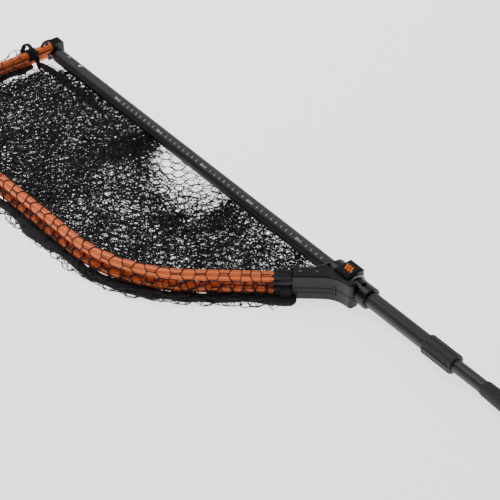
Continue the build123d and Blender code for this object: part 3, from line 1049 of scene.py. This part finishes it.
@dataclass
class HeapNetting:
    """One part of the bag, folded to and fro and heaped inside the half hoops."""

    path: HoopPath
    maker: StrandMaker
    name: str
    seed: int
    turn: float
    ahead: float
    back: float
    base: float
    crown: float
    windowed: bool = True
    first_x: float = 42 * MM
    last_x: float = 650 * MM
    clear: float = 6 * MM
    near_tube: float = BELOW_TUBE
    reach: float = 700 * MM
    middle: tuple[float, float] = (340 * MM, 110 * MM)
    window: tuple[float, float] = (282 * MM, 38 * MM)
    window_half: tuple[float, float] = (104 * MM, 52 * MM)
    tilt: float = 0.22
    steps: int = 130
    stands_for: str | None = None
    body: Body = Body.HUB
    wander: float = 16 * MM
    sway: float = 9 * MM
    jitter: float = 2 * MM
    fold_rise: float = 4 * MM

    def _folded(self, flat: np.ndarray) -> np.ndarray:
        """Folds the sheet to and fro, lays it at its angle and heaps it up.

        Args:
            flat: (n, 2) places on the flat sheet.

        Returns:
            (n, 3) positions.
        """
        wander = ripple(flat, 0.19, self.seed) * self.wander
        period = self.ahead + self.back
        run = flat[:, 0] + wander
        turns, part = np.divmod(run, period)
        along = np.where(part < self.ahead, part, 2 * self.ahead - part)
        along += turns * (self.ahead - self.back) - wander
        marks = (0, self.back, self.ahead - self.back, self.ahead, period)
        rise = self.fold_rise
        fold = np.interp(part, marks, (rise, rise, 0, 0, rise))
        turn_cos, turn_sin = math.cos(self.turn), math.sin(self.turn)
        along -= along.mean()
        across = flat[:, 1] - flat[:, 1].mean()
        x = self.middle[0] + along * turn_cos - across * turn_sin
        y = self.middle[1] + along * turn_sin + across * turn_cos
        here = np.stack([x, y], -1)
        slow, fine = self.sway, self.jitter
        x = x + slow * ripple(here, 0.11, self.seed + 1) + fine * ripple(here, 0.026, 5)
        y = y + slow * ripple(here, 0.11, self.seed + 2) + fine * ripple(here, 0.026, 6)
        height = (
            self.base
            + fold
            + self.crown * (0.5 + 0.5 * ripple(here, 0.085, self.seed + 3))
            + 1.5 * MM * ripple(flat, 0.03, self.seed + 4)
        )
        return np.stack([x, y, np.clip(height, 1 * MM, 30 * MM)], -1)

    def _beside_window(self, points: np.ndarray) -> None:
        """Pushes knots out of the window where the ground shows, in place."""
        middle, half = np.array(self.window), np.array(self.window_half)
        gap = points[:, :2] - middle
        gap[:, 1] += self.tilt * gap[:, 0]
        away = gap / half
        far = np.linalg.norm(away, axis=1)[:, None]
        ragged = 1 + 0.16 * ripple(points[:, :2], 0.05, self.seed + 7)[:, None]
        limit = 1.3
        new = 1 + (limit - 1) * (np.minimum(far, limit) / limit) ** 2
        moved = away / np.maximum(far, 1e-6) * new * ragged * half
        moved[:, 1] -= self.tilt * moved[:, 0]
        moved += middle
        inside = far[:, 0] < limit
        points[inside, :2] = moved[inside]

    def build(self) -> bpy.types.Object:
        """Returns:
            The piece.
        """
        longer = (self.ahead + self.back) / (self.ahead - self.back)
        sheet = Lattice(self.reach * longer, self.reach)
        knots = self._folded(sheet.flat)
        if self.windowed:
            self._beside_window(knots)
        xs = np.linspace(self.first_x, self.last_x, 80)
        tops = np.array([self.path.inner_y(value, self.clear) for value in xs])
        top = np.interp(knots[:, 0], xs, tops)
        inside = (knots[:, 0] > self.first_x) & (knots[:, 0] < self.last_x)
        inside &= (knots[:, 1] > self.near_tube) & (knots[:, 1] < top)
        inside &= (knots[:, 0] < TIP_ROOM_X) | (knots[:, 1] > TUBE_SIDE_Y)
        knots = knots[sheet.cut(inside)]
        under = knots[:, 1] < TUBE_SIDE_Y
        knots[under, 2] = np.minimum(knots[under, 2], 8 * MM)
        settle = Settling(
            self.path, sheet, self.steps, pile=1.2 * MM, ground=self.base * 0.55,
            stiffness=0.4, inner_limit=self.clear - 2 * MM,
        )
        knots = settle.run(knots, np.array([], int))
        piece = self.maker.build(self.name, knots, sheet.strands)
        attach(piece, self.body.value)
        if self.stands_for:
            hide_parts(self.stands_for)
        cloth = len(knots) * KNOT_AREA * sheet.side**2
        length = (self.last_x - self.first_x) * longer
        cloth / length
        OPEN_SHARE * cloth
        log.info(
            "%s: %d knots, flat %.2f x %.2f m", self.name, len(knots), cloth / length,
            length,
        )
        return piece


@dataclass
class DrapedNetting:
    """A long strip of netting that crosses the arms from the heap to the hem."""

    path: HoopPath
    maker: StrandMaker
    name: str
    profile: tuple[tuple[float, float], ...]
    first: float
    last: float
    seed: int
    stray: float = 2.5 * MM
    loops: float = 0.0
    lift: float = 0.0
    steps: int = 120
    slip: float = 0.0
    body: Body = Body.HUB

    def build(self) -> bpy.types.Object:
        """Makes the strip.

        Returns:
            The piece.
        """
        shape = np.array(self.profile) * MM
        total = distances(shape)
        width = float(total[-1])
        sheet = Lattice(self.last - self.first, width)
        flat = sheet.flat.copy()
        s = self.first + flat[:, 0] * (self.last - self.first) / flat[:, 0].max()
        t = flat[:, 1] / flat[:, 1].max() * width
        s = s + self.slip * (t / width - 0.5)
        s = s + ripple(np.stack([s, t], -1), 0.05, self.seed) * self.stray
        offset = np.interp(t, total, shape[:, 0])
        height = np.interp(t, total, shape[:, 1])
        sway = ripple(np.stack([s, t * 0.3], -1), 0.09, self.seed + 1)
        edge = 12 * MM
        outer = np.clip((offset - edge) / (6 * MM), 0, 1)
        keep = np.clip(0.25 + self.loops * (sway + 0.35), 0.05, 1.25)
        swayed = offset + sway * 1.5 * MM
        offset = np.where(outer > 0, edge + (offset - edge) * keep, swayed)
        inner = np.clip((-offset - 10 * MM) / (14 * MM), 0, 1)
        height = height + inner * 6 * MM * ripple(np.stack([s, t], -1), 0.06, self.seed + 2)
        rise = np.exp(-(((self.last - s) / (42 * MM)) ** 2)) * self.lift
        height = height + rise * np.clip((height - 24 * MM) / (12 * MM), 0, 1)
        spots = self.path.at(s, offset)
        knots = np.stack([spots[:, 0], spots[:, 1], np.maximum(height, 1 * MM)], -1)
        first, last = sheet.edge_rows()
        held = np.concatenate([first, last])
        if self.lift:
            held = np.union1d(held, np.nonzero(rise > 0.35 * self.lift)[0])
        settle = Settling(
            self.path, sheet, self.steps, gravity=0.12 * MM, stiffness=0.3,
            pile=0.3 * MM,
        )
        knots = settle.run(knots, held)
        piece = self.maker.build(self.name, knots, sheet.strands, cuts=3)
        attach(piece, self.body.value)
        self.last - self.first
        OPEN_SHARE * width * (self.last - self.first)
        log.info("%s: %d strands", self.name, len(sheet.strands))
        return piece


# ---- fabric -------------------------------------------------------------------------


@dataclass
class Binding:
    """A folded fabric band that follows a line on the ground or round a piece."""

    name: str
    width: float
    thick: float
    seed: int
    wave: float = 3 * MM
    fuzz: float = 0.5 * MM
    around: int = 16

    def build(self, line: np.ndarray, normals: np.ndarray) -> bpy.types.Object:
        """Sweeps the band's flat rounded section along a line.

        Args:
            line: (n, 3) middle line.
            normals: (n, 3) the band's width direction at each point.

        Returns:
            The mesh object.
        """
        ways = unit(np.gradient(line, axis=0))
        ups = unit(np.cross(normals, ways))
        flip = np.sign(ups[:, 2:3] + 1e-9)
        ups = np.where(np.abs(ups[:, 2:3]) > 0.2, ups * flip, ups)
        s = distances(line)
        turns = np.linspace(0, math.tau, self.around, endpoint=False)
        ends = np.minimum(1, 0.3 + np.minimum(s, s[-1] - s) / (7 * MM))
        rings = []
        swell = ripple(np.stack([s, s * 0.3], -1), 0.08, self.seed)
        pleat = ripple(np.stack([s, s * 0.2], -1), 0.022, self.seed + 1)
        for turn in turns:
            across = math.copysign(abs(math.cos(turn)) ** 0.7, math.cos(turn))
            above = math.copysign(abs(math.sin(turn)) ** 0.8, math.sin(turn))
            half = self.width / 2 * (1 + 0.2 * swell + 0.12 * pleat) * ends
            edge = ripple(np.stack([s, np.full(len(s), turn)], -1), 0.012, self.seed + 2)
            tall = self.thick / 2 * (1 + 0.4 * pleat) * ends
            rings.append(
                line
                + normals * (half * across + self.wave * swell)[:, None]
                + ups * (tall * above + self.fuzz * edge)[:, None]
            )
        points = np.stack(rings, 1)
        faces = ring_faces(len(line), self.around, closed=False)
        faces.append(list(range(self.around))[::-1])
        faces.append([(len(line) - 1) * self.around + k for k in range(self.around)])
        vertices = points.reshape(-1, 3)
        vertices[:, 2] = np.maximum(vertices[:, 2], 0.2 * MM)
        obj = mesh_object(self.name, vertices, faces, WEBBING)
        outwards(obj)
        subdivide = obj.modifiers.new("soft", "SUBSURF")
        subdivide.levels = subdivide.render_levels = 1
        return baked(obj)


@dataclass
class SoftGoods:
    """The hem, the gathered straps at the yokes and the webbing at the tip."""

    path: HoopPath
    hem_width: float = 18 * MM
    hem_thick: float = 6.4 * MM
    hem_offset: float = 12.2 * MM
    inner_width: float = 10 * MM
    inner_thick: float = 3.6 * MM
    strap_length: float = 23 * MM
    tail_s: float = 9 * MM
    tail_width: float = 14 * MM
    tip_sleeve: float = 14 * MM
    tip_back: float = 34 * MM
    loop_width: float = 8.5 * MM
    thin: float = 2.2 * MM
    sleeve_wall: float = 1.7
    sleeve_swell: float = 0.9
    inner_route: tuple[Point, ...] = (
        (650, 26, 9), (640, 23, 6), (626, 20, 4), (600, 17, 3.5), (565, 19, 4),
        (530, 17, 3.5), (490, 18, 4),
    )
    loop_route: tuple[Point, ...] = (
        (656, 47, 24), (656.5, 46, 38), (651, 44, 50), (642, 43, 52), (634, 41, 45),
        (631.5, 38, 32), (630, 36, 20), (629, 35, 10),
    )
    tail_route: tuple[tuple[float, float], ...] = (
        (2, 20.5), (8.8, 17), (11.5, 9), (14, 3.2), (19, 2.2), (23, 1.8)
    )

    def _through(self, spots: Sequence[Point], count: int) -> np.ndarray:
        """A smooth line through a few points.

        Args:
            spots: points in millimetres.
            count: how many points the line has.

        Returns:
            (count, 3) points in metres.
        """
        data = bpy.data.curves.new("through", "CURVE")
        data.dimensions = "3D"
        spline = data.splines.new("NURBS")
        spline.points.add(len(spots) - 1)
        for point, spot in zip(spline.points, spots):
            point.co = (*(value * MM for value in spot), 1)
        spline.order_u = 4
        spline.use_endpoint_u = True
        spline.resolution_u = 24
        mesh = evaluated(linked("through", data))
        found = np.array([vertex.co[:] for vertex in mesh.vertices])
        s = distances(found)
        even = np.linspace(0, s[-1], count)
        return np.stack([np.interp(even, s, found[:, k]) for k in range(3)], -1)

    def hem(self) -> bpy.types.Object:
        """The binding of the net's rim, on the ground outside the lower arm."""
        s = np.arange(-6 * MM, self.path.length - 24 * MM, 5 * MM)
        bulge = ripple(np.stack([s, s * 0.4], -1), 0.075, 21)
        offset = self.hem_offset + 2.4 * MM * bulge
        spots = self.path.at(s, offset)
        ahead = self.path.at(s, offset + 1 * MM)
        height = 3.4 * MM + 1.6 * MM * np.abs(ripple(np.stack([s, s], -1), 0.06, 22))
        line = np.stack([spots[:, 0], spots[:, 1], height], -1)
        normals = np.zeros_like(line)
        normals[:, :2] = (ahead - spots) / MM
        binding = Binding(
            "hem_binding", self.hem_width, self.hem_thick, 23, wave=2.5 * MM, fuzz=0.9 * MM
        )
        piece = binding.build(line, normals)
        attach(piece, Body.HUB.value)
        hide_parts("hem_band")
        return piece

    def inner_hem(self) -> bpy.types.Object:
        """The binding of the inner rim, from the tip along the tube."""
        line = self._through(self.inner_route, 60)
        ways = np.gradient(line, axis=0)
        normals = unit(np.stack([-ways[:, 1], ways[:, 0], np.zeros(len(line))], -1))
        binding = Binding(
            "inner_hem_binding", self.inner_width, self.inner_thick, 33, wave=1.5 * MM
        )
        piece = binding.build(line, normals)
        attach(piece, Body.HUB.value)
        return piece

    def _sleeve(
        self, name: str, s: float, height: float, length: float, seed: int
    ) -> bpy.types.Object:
        """A gathered sleeve of webbing round an arm.

        Args:
            name: the piece's name.
            s: its middle along the arms' path.
            height: the arm's height.
            length: the sleeve's length along the arm.
            seed: fixes its folds.

        Returns:
            The mesh object.
        """
        around, along = 40, 12
        turns = np.linspace(0, math.tau, around, endpoint=False)
        parts = np.linspace(-0.5, 0.5, along)
        points = []
        for inner in (False, True):
            for part in parts if not inner else parts[::-1]:
                fade = 1 - (2 * abs(part)) ** 4
                place = np.stack([np.cos(turns) * 10 * MM, np.sin(turns) * 10 * MM], -1)
                pleat = ripple(place + part * 3 * MM, 4.5 * MM, seed)
                wall = (self.sleeve_wall + self.sleeve_swell * fade) * MM
                inside = ARM_R + 0.4 * MM
                radius = inside if inner else ARM_R + wall + 1.1 * MM * pleat
                offset = np.cos(turns) * radius
                ragged = 0 if inner else 3.5 * MM * pleat * (part + 0.5)
                here = np.full(around, s + part * length) + ragged
                spots = self.path.at(here, offset)
                points.append(
                    np.concatenate([spots, (height + np.sin(turns) * radius)[:, None]], 1)
                )
        faces = ring_faces(len(points), around, closed=True)
        obj = mesh_object(name, np.concatenate(points), faces, WEBBING)
        outwards(obj)
        return obj

    def yoke_straps(self) -> list[bpy.types.Object]:
        """The gathered straps that hold the net's ends at the yokes.

        Returns:
            The upper strap and the lower strap with its loose end.
        """
        middle = self.strap_length / 2
        upper = self._sleeve("upper_gather", middle, UPPER_Z, self.strap_length, 41)
        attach(upper, Body.UPPER.value)
        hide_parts("upper_yoke_strap")
        lower = self._sleeve("lower_gather", middle, LOWER_Z, self.strap_length, 43)
        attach(lower, Body.HUB.value)
        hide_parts("lower_yoke_strap")
        base = self.path.at(np.array([self.tail_s]), np.array([0.0]))[0] / MM
        out = self.path.at(np.array([self.tail_s]), np.array([1 * MM]))[0] / MM - base
        route = [
            (base[0] + out[0] * d, base[1] + out[1] * d, z) for d, z in self.tail_route
        ]
        line = self._through(route, 30)
        way = self.path.at(np.array([self.tail_s, 13 * MM]), np.zeros(2))
        along = np.append((way[1] - way[0]) / np.linalg.norm(way[1] - way[0]), 0)
        tail = Binding("gather_tail", self.tail_width, self.thin, 45, wave=0.8 * MM)
        end = tail.build(line, np.tile(along, (len(line), 1)))
        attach(end, Body.HUB.value)
        return [upper, lower, end]

    def tip_webbing(self) -> list[bpy.types.Object]:
        """The sleeve and the loop of webbing near the upper arm's tip.

        Returns:
            The pieces.
        """
        s = self.path.length - self.tip_back
        sleeve = self._sleeve("tip_gather", s, UPPER_Z, self.tip_sleeve, 51)
        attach(sleeve, Body.UPPER.value)
        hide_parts("tip_strap")
        line = self._through(self.loop_route, 60)
        ways = np.gradient(line, axis=0)
        normals = np.tile(np.array([0.12, 0.99, 0.0]), (len(line), 1))
        normals -= ways * ((normals * ways).sum(1) / (ways**2).sum(1))[:, None]
        loop = Binding("tip_loop", self.loop_width, self.thin, 53, wave=0.4 * MM)
        loop = loop.build(line, unit(normals))
        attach(loop, Body.UPPER.value)
        return [sleeve, loop]


# ---- hard detail --------------------------------------------------------------------


@dataclass
class TubeRuler:
    """White graduations and plain numbers along the handle tube."""

    first: float = 478 * MM
    pitch: float = 10 * MM
    count: int = 46
    angle: float = math.radians(56)
    sweep: float = math.radians(21)
    line: float = 0.8 * MM
    proud: float = 0.06 * MM
    text: float = 5.0 * MM

    def ticks(self) -> bpy.types.Object:
        """The graduation lines, as thin curved bands on the tube.

        Returns:
            One mesh object.
        """
        recipe = Recipe(
            "graduations",
            {
                "First": self.first, "Pitch": self.pitch, "Radius": TUBE_R + self.proud,
                "Line Width": self.line,
            },
        )
        arc = recipe.add(
            "GeometryNodeCurveArc", {"mode": "RADIUS"},
            {
                "Resolution": 6, "Radius": recipe.size("Radius"), "Start Angle": self.angle,
                "Sweep Angle": self.sweep,
            },
        )
        half = recipe.size("Line Width") * 0.5
        start = recipe.vector({1: half * -1.0})
        end = recipe.vector({1: half})
        edge = recipe.add(
            "GeometryNodeCurvePrimitiveLine", {}, {"Start": start, "End": end}
        )
        band = recipe.add(
            "GeometryNodeCurveToMesh", {}, {"Curve": arc, "Profile Curve": edge}
        )
        turned = recipe.add(
            "GeometryNodeTransform", {},
            {
                "Geometry": band, "Rotation": (math.pi / 2, 0, math.pi / 2),
                "Translation": (0, 0, AXIS_Z),
            },
        )
        start_at = recipe.vector({0: recipe.size("First")})
        apart = recipe.vector({0: recipe.size("Pitch") * -1.0})
        row = recipe.add(
            "GeometryNodeMeshLine", {},
            {"Count": self.count, "Start Location": start_at, "Offset": apart},
        )
        recipe.close(recipe.instances(row, turned, {}), PRINT)
        piece = recipe.bake(empty_mesh("tube_graduations"))
        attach(piece, Body.HANDLE.value)
        return piece

    def numbers(self) -> bpy.types.Object:
        """The numbers, wrapped on the tube at every tenth line.

        Returns:
            One mesh object.
        """
        points: list[Point] = []
        faces: list[list[int]] = []
        for index in range(5):
            data = bpy.data.curves.new("number", "FONT")
            data.body = f"{10 * (index + 1)}cm"
            data.size = self.text
            data.align_x = "CENTER"
            data.align_y = "CENTER"
            data.resolution_u = 3
            mesh = evaluated(linked("number", data))
            centre = self.first - 100 * MM * index - 5 * MM
            base = len(points)
            middle = self.angle + self.sweep / 2
            for vertex in mesh.vertices:
                turn = middle + vertex.co.y / TUBE_R
                reach = TUBE_R + self.proud
                points.append(
                    (
                        centre - vertex.co.x, reach * math.cos(turn),
                        AXIS_Z + reach * math.sin(turn),
                    )
                )
            faces += [[base + k for k in face.vertices] for face in mesh.polygons]
        piece = mesh_object("tube_numbers", np.array(points), faces, PRINT)
        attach(piece, Body.HANDLE.value)
        return piece


@dataclass
class BadgeFace:
    """Three plain raised bars on the badge plate."""

    width: float = 3.0 * MM
    length: float = 11.0 * MM
    pitch: float = 4.4 * MM
    height: float = 0.5 * MM
    slant: float = math.radians(28)

    def build(self) -> bpy.types.Object:
        """Makes the bars with a tree and lays them on the plate.

        Returns:
            One mesh object.
        """
        low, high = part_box("badge_plate")
        centre = ((low[0] + high[0]) / 2, (low[1] + high[1]) / 2, high[2])
        recipe = Recipe(
            "badge_bars",
            {
                "Bar Width": self.width, "Bar Length": self.length,
                "Bar Height": self.height, "Pitch": self.pitch,
            },
        )
        parts = ("Bar Width", "Bar Length", "Bar Height")
        size = recipe.vector({k: recipe.size(key) for k, key in enumerate(parts)})
        bar = recipe.add("GeometryNodeMeshCube", {}, {"Size": size})
        apart = recipe.vector({0: recipe.size("Pitch")})
        row = recipe.add(
            "GeometryNodeMeshLine", {},
            {
                "Count": 3,
                "Start Location": (centre[0] - self.pitch, centre[1], centre[2]),
                "Offset": apart,
            },
        )
        bars = recipe.instances(row, bar, {"Rotation": (0, 0, self.slant)})
        recipe.close(bars, BADGE_ORANGE)
        piece = recipe.bake(empty_mesh("badge_bars"), smooth=False)
        bevel = piece.modifiers.new("edge", "BEVEL")
        bevel.width = 0.2 * MM
        bevel.segments = 2
        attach(piece, Body.UPPER.value)
        return piece


@dataclass
class RaisedDots:
    """Rows of small domes round a turned part, such as a knurl strip or grip dots."""

    name: str
    body: Body
    finish: Finish
    slot: str
    node: str
    rings: int
    around: int
    first_angle: float
    sweep: float
    radius: Callable[[float], float]
    dot: float

    def build(self) -> bpy.types.Object:
        """Makes the dots between the ends of the node.

        Returns:
            One mesh object.
        """
        low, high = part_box(self.node)
        recipe = Recipe(self.name + "_dots", {"Dot Radius": self.dot})
        entry = recipe.start()
        dome = recipe.add(
            "GeometryNodeMeshUVSphere", {},
            {"Segments": 8, "Rings": 4, "Radius": recipe.size("Dot Radius")},
        )
        recipe.close(recipe.instances(entry, dome, {}), self.finish)
        points = []
        margin = 4 * MM
        for ring in range(self.rings):
            x = low[0] + margin + (high[0] - low[0] - 2 * margin) * ring / (self.rings - 1)
            for k in range(self.around):
                turn = self.first_angle + self.sweep * (k + 0.5 * (ring % 2)) / self.around
                reach = self.radius(x)
                points.append((x, reach * math.cos(turn), AXIS_Z + reach * math.sin(turn)))
        mesh = bpy.data.meshes.new(self.name)
        mesh.from_pydata(points, [], [])
        piece = recipe.bake(linked(self.name, mesh))
        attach(piece, self.body.value)
        return piece


# ---- studio -------------------------------------------------------------------------


@dataclass
class Studio:
    """The floor, the soft lights and the camera."""

    position: Point = (-1.18041, 1.08243, 1.39981)
    right: Point = (-0.62338, -0.78192, 0.0)
    up: Point = (0.50250, -0.40062, 0.76616)
    ahead: Point = (0.59907, -0.47761, -0.64265)
    lens: float = 121.18
    floor_half: float = 12.0
    sky: float = 0.14
    panels: tuple[tuple[str, Point, Point, tuple[float, float], float], ...] = (
        ("overhead", (1.6, 0.25, 1.8), (1.4, 0.25, 0), (3.0, 1.3), 42),
        ("back", (0.9, -1.7, 1.1), (0.25, 0.08, 0.02), (3.0, 1.0), 12),
    )

    def camera(self) -> bpy.types.Object:
        """Places the camera."""
        data = bpy.data.cameras.new("camera")
        data.lens = self.lens
        data.sensor_width = 36
        data.clip_start = 0.05
        obj = linked("camera", data)
        back = [-value for value in self.ahead]
        turn = Matrix((self.right, self.up, back)).transposed()
        obj.matrix_world = Matrix.Translation(self.position) @ turn.to_4x4()
        bpy.context.scene.camera = obj
        return obj

    def floor(self) -> bpy.types.Object:
        """A pale plain floor."""
        size = self.floor_half
        points = np.array(
            [(-size, -size, 0), (size, -size, 0), (size, size, 0), (-size, size, 0)]
        )
        finish = Finish(
            "pale_floor", (0.93, 0.93, 0.935), (0.925, 0.925, 0.93), 0.8, 0.02, glow=1.7
        )
        obj = mesh_object("floor", points, [[0, 1, 2, 3]], finish)
        return obj

    def light(
        self, name: str, place: Point, aim: Point, size: tuple[float, float], power: float
    ) -> None:
        """A soft light panel.

        Args:
            name: its name.
            place: where it stands.
            aim: what it points at.
            size: the panel's length along X and its width.
            power: watts.
        """
        data = bpy.data.lights.new(name, "AREA")
        data.shape = "RECTANGLE"
        data.size, data.size_y = size
        data.energy = power
        obj = linked(name, data)
        obj.location = place
        way = Vector(aim) - Vector(place)
        flat = Vector((1, 0, 0)) - way * (way.x / way.length_squared)
        side = way.cross(flat).normalized() * -1
        axes = Matrix((flat.normalized(), side, -way.normalized()))
        obj.rotation_euler = axes.transposed().to_euler()

    def build(self) -> None:
        """Sets up the whole studio."""
        self.camera()
        self.floor()
        world = bpy.data.worlds.new("studio")
        world.use_nodes = True
        world.node_tree.nodes.clear()
        board = NodeBoard(world.node_tree)
        sky = board.add(
            "ShaderNodeBackground", {},
            {"Color": (0.97, 0.98, 1.0, 1), "Strength": self.sky},
        )
        board.node("ShaderNodeOutputWorld", {}, {"Surface": sky})
        bpy.context.scene.world = world
        for panel in self.panels:
            self.light(*panel)


# ---- the whole object ---------------------------------------------------------------


PROFILES: dict[str, tuple[tuple[float, float], ...]] = {
    "hoop_netting": (
        (14, 2), (14, 8), (12, 22), (9.5, 33), (0, 39.6), (-9, 34), (-18, 27), (-30, 20),
        (-40, 14),
    ),
    "lower_netting": (
        (13, 4), (24, 2), (33, 1), (26, 1.5), (14, 3), (10, 12), (8, 19), (0, 21),
        (-10, 20.5), (-22, 15), (-34, 9),
    ),
    "lower_netting_inner": (
        (12, 1.5), (11, 8), (9, 14), (6, 18.6), (0, 19.6), (-10, 18), (-20, 11), (-28, 6)
    ),
    "rim_netting": (
        (11, 6), (14, 8), (20, 7.5), (28, 4), (36, 1), (30, 1.5), (22, 7), (13, 9)
    ),
}
STRIPS: tuple[tuple[str, float, float, int, dict], ...] = (
    ("hoop_netting", 14, 44, 61, {"lift": 11 * MM, "body": Body.UPPER}),
    ("lower_netting", 10, 40, 71, {"loops": 0.8}),
    ("lower_netting_inner", 12, 40, 81, {"slip": -12 * MM, "stray": 3.5 * MM}),
    ("rim_netting", 20, 40, 91, {"loops": 0.9}),
)
FOLDS: tuple[tuple[str, int, float, float, float, float, float, float, float], ...] = (
    ("second", 201, 0.44, 95, 40, 3, 5, 42, 650),
    ("third", 301, -0.6, 120, 50, 5, 7, 42, 650),
    ("fourth", 401, 1.2, 80, 35, 8, 8, 42, 650),
    ("fifth", 501, -0.1, 130, 60, 11, 9, 42, 650),
    ("left_low", 601, 0.9, 62, 36, 2, 6, 352, 650),
    ("left_top", 701, -0.35, 74, 40, 12, 10, 376, 650),
    ("middle", 1001, -0.9, 66, 38, 6, 9, 190, 420),
    ("right_low", 801, 0.3, 60, 34, 3, 8, 42, 232),
    ("top", 901, 0.8, 75, 25, 15, 10, 42, 650),
)
SWINGING = ("fifth", "top")
COLLAR_DOTS_R = 13.25 * MM
GRIP_FRONT_X = -260 * MM
GRIP_LENGTH = 260 * MM
GRIP_THIN_R = 9.4 * MM
GRIP_SWELL = 2.7 * MM


def dress_frame() -> None:
    """Gives every CAD node its finish."""
    for finish, names in NODE_FINISHES.items():
        for name in names:
            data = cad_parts[name].data
            data.materials.clear()
            data.materials.append(finish.material())


def grip_radius(x: float) -> float:
    """The grip's radius along the handle axis."""
    part = (GRIP_FRONT_X - x) / GRIP_LENGTH
    return GRIP_THIN_R + GRIP_SWELL * math.sin(min(part * 2.4, 1.0) * math.pi / 2)


def main() -> None:
    """Builds every piece in order."""
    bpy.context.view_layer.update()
    Studio().build()
    dress_frame()
    path = HoopPath()
    maker = StrandMaker(path, 0.64 * MM, 0.86 * MM)
    HeapNetting(
        path, maker, "heap_netting_low", 101, 0.14, 400 * MM, 0, 2 * MM, 5 * MM,
        windowed=False, stands_for="net_bag",
    ).build()
    HeapNetting(
        path, maker, "heap_netting_cover", 111, 0.9, 400 * MM, 0, 6 * MM, 12 * MM,
        windowed=False,
    ).build()
    thin = StrandMaker(path, 0.5 * MM, 0.68 * MM)
    for label, seed, turn, ahead, back, base, crown, first, last in FOLDS:
        HeapNetting(
            path, thin, "heap_netting_" + label, seed, turn, ahead * MM, back * MM,
            base * MM, crown * MM, first_x=first * MM, last_x=last * MM,
            near_tube=CLEAR_OF_TUBE if label in SWINGING else BELOW_TUBE,
            body=Body.UPPER if label in SWINGING else Body.HUB,
        ).build()
    for name, first, short, seed, more in STRIPS:
        DrapedNetting(
            path, maker, name, PROFILES[name], first * MM, path.length - short * MM, seed,
            **more,
        ).build()
    soft = SoftGoods(path)
    soft.hem()
    soft.inner_hem()
    soft.yoke_straps()
    soft.tip_webbing()
    ruler = TubeRuler()
    ruler.ticks()
    ruler.numbers()
    BadgeFace().build()
    RaisedDots(
        "collar_knurl",
        Body.COLLAR,
        COLLAR_BLACK,
        "collar_plastic",
        "twist_collar",
        14,
        5,
        math.radians(10),
        math.radians(26),
        lambda x: COLLAR_DOTS_R,
        0.55 * MM,
    ).build()
    RaisedDots(
        "grip_dots", Body.INNER, GRIP_RUBBER, "grip_rubber", "grip", 52, 20, 0.0, math.tau,
        grip_radius, 0.8 * MM,
    ).build()
    log.info("all pieces built")


if __name__ == "__main__":
    logging.basicConfig(level=logging.INFO)
    main()
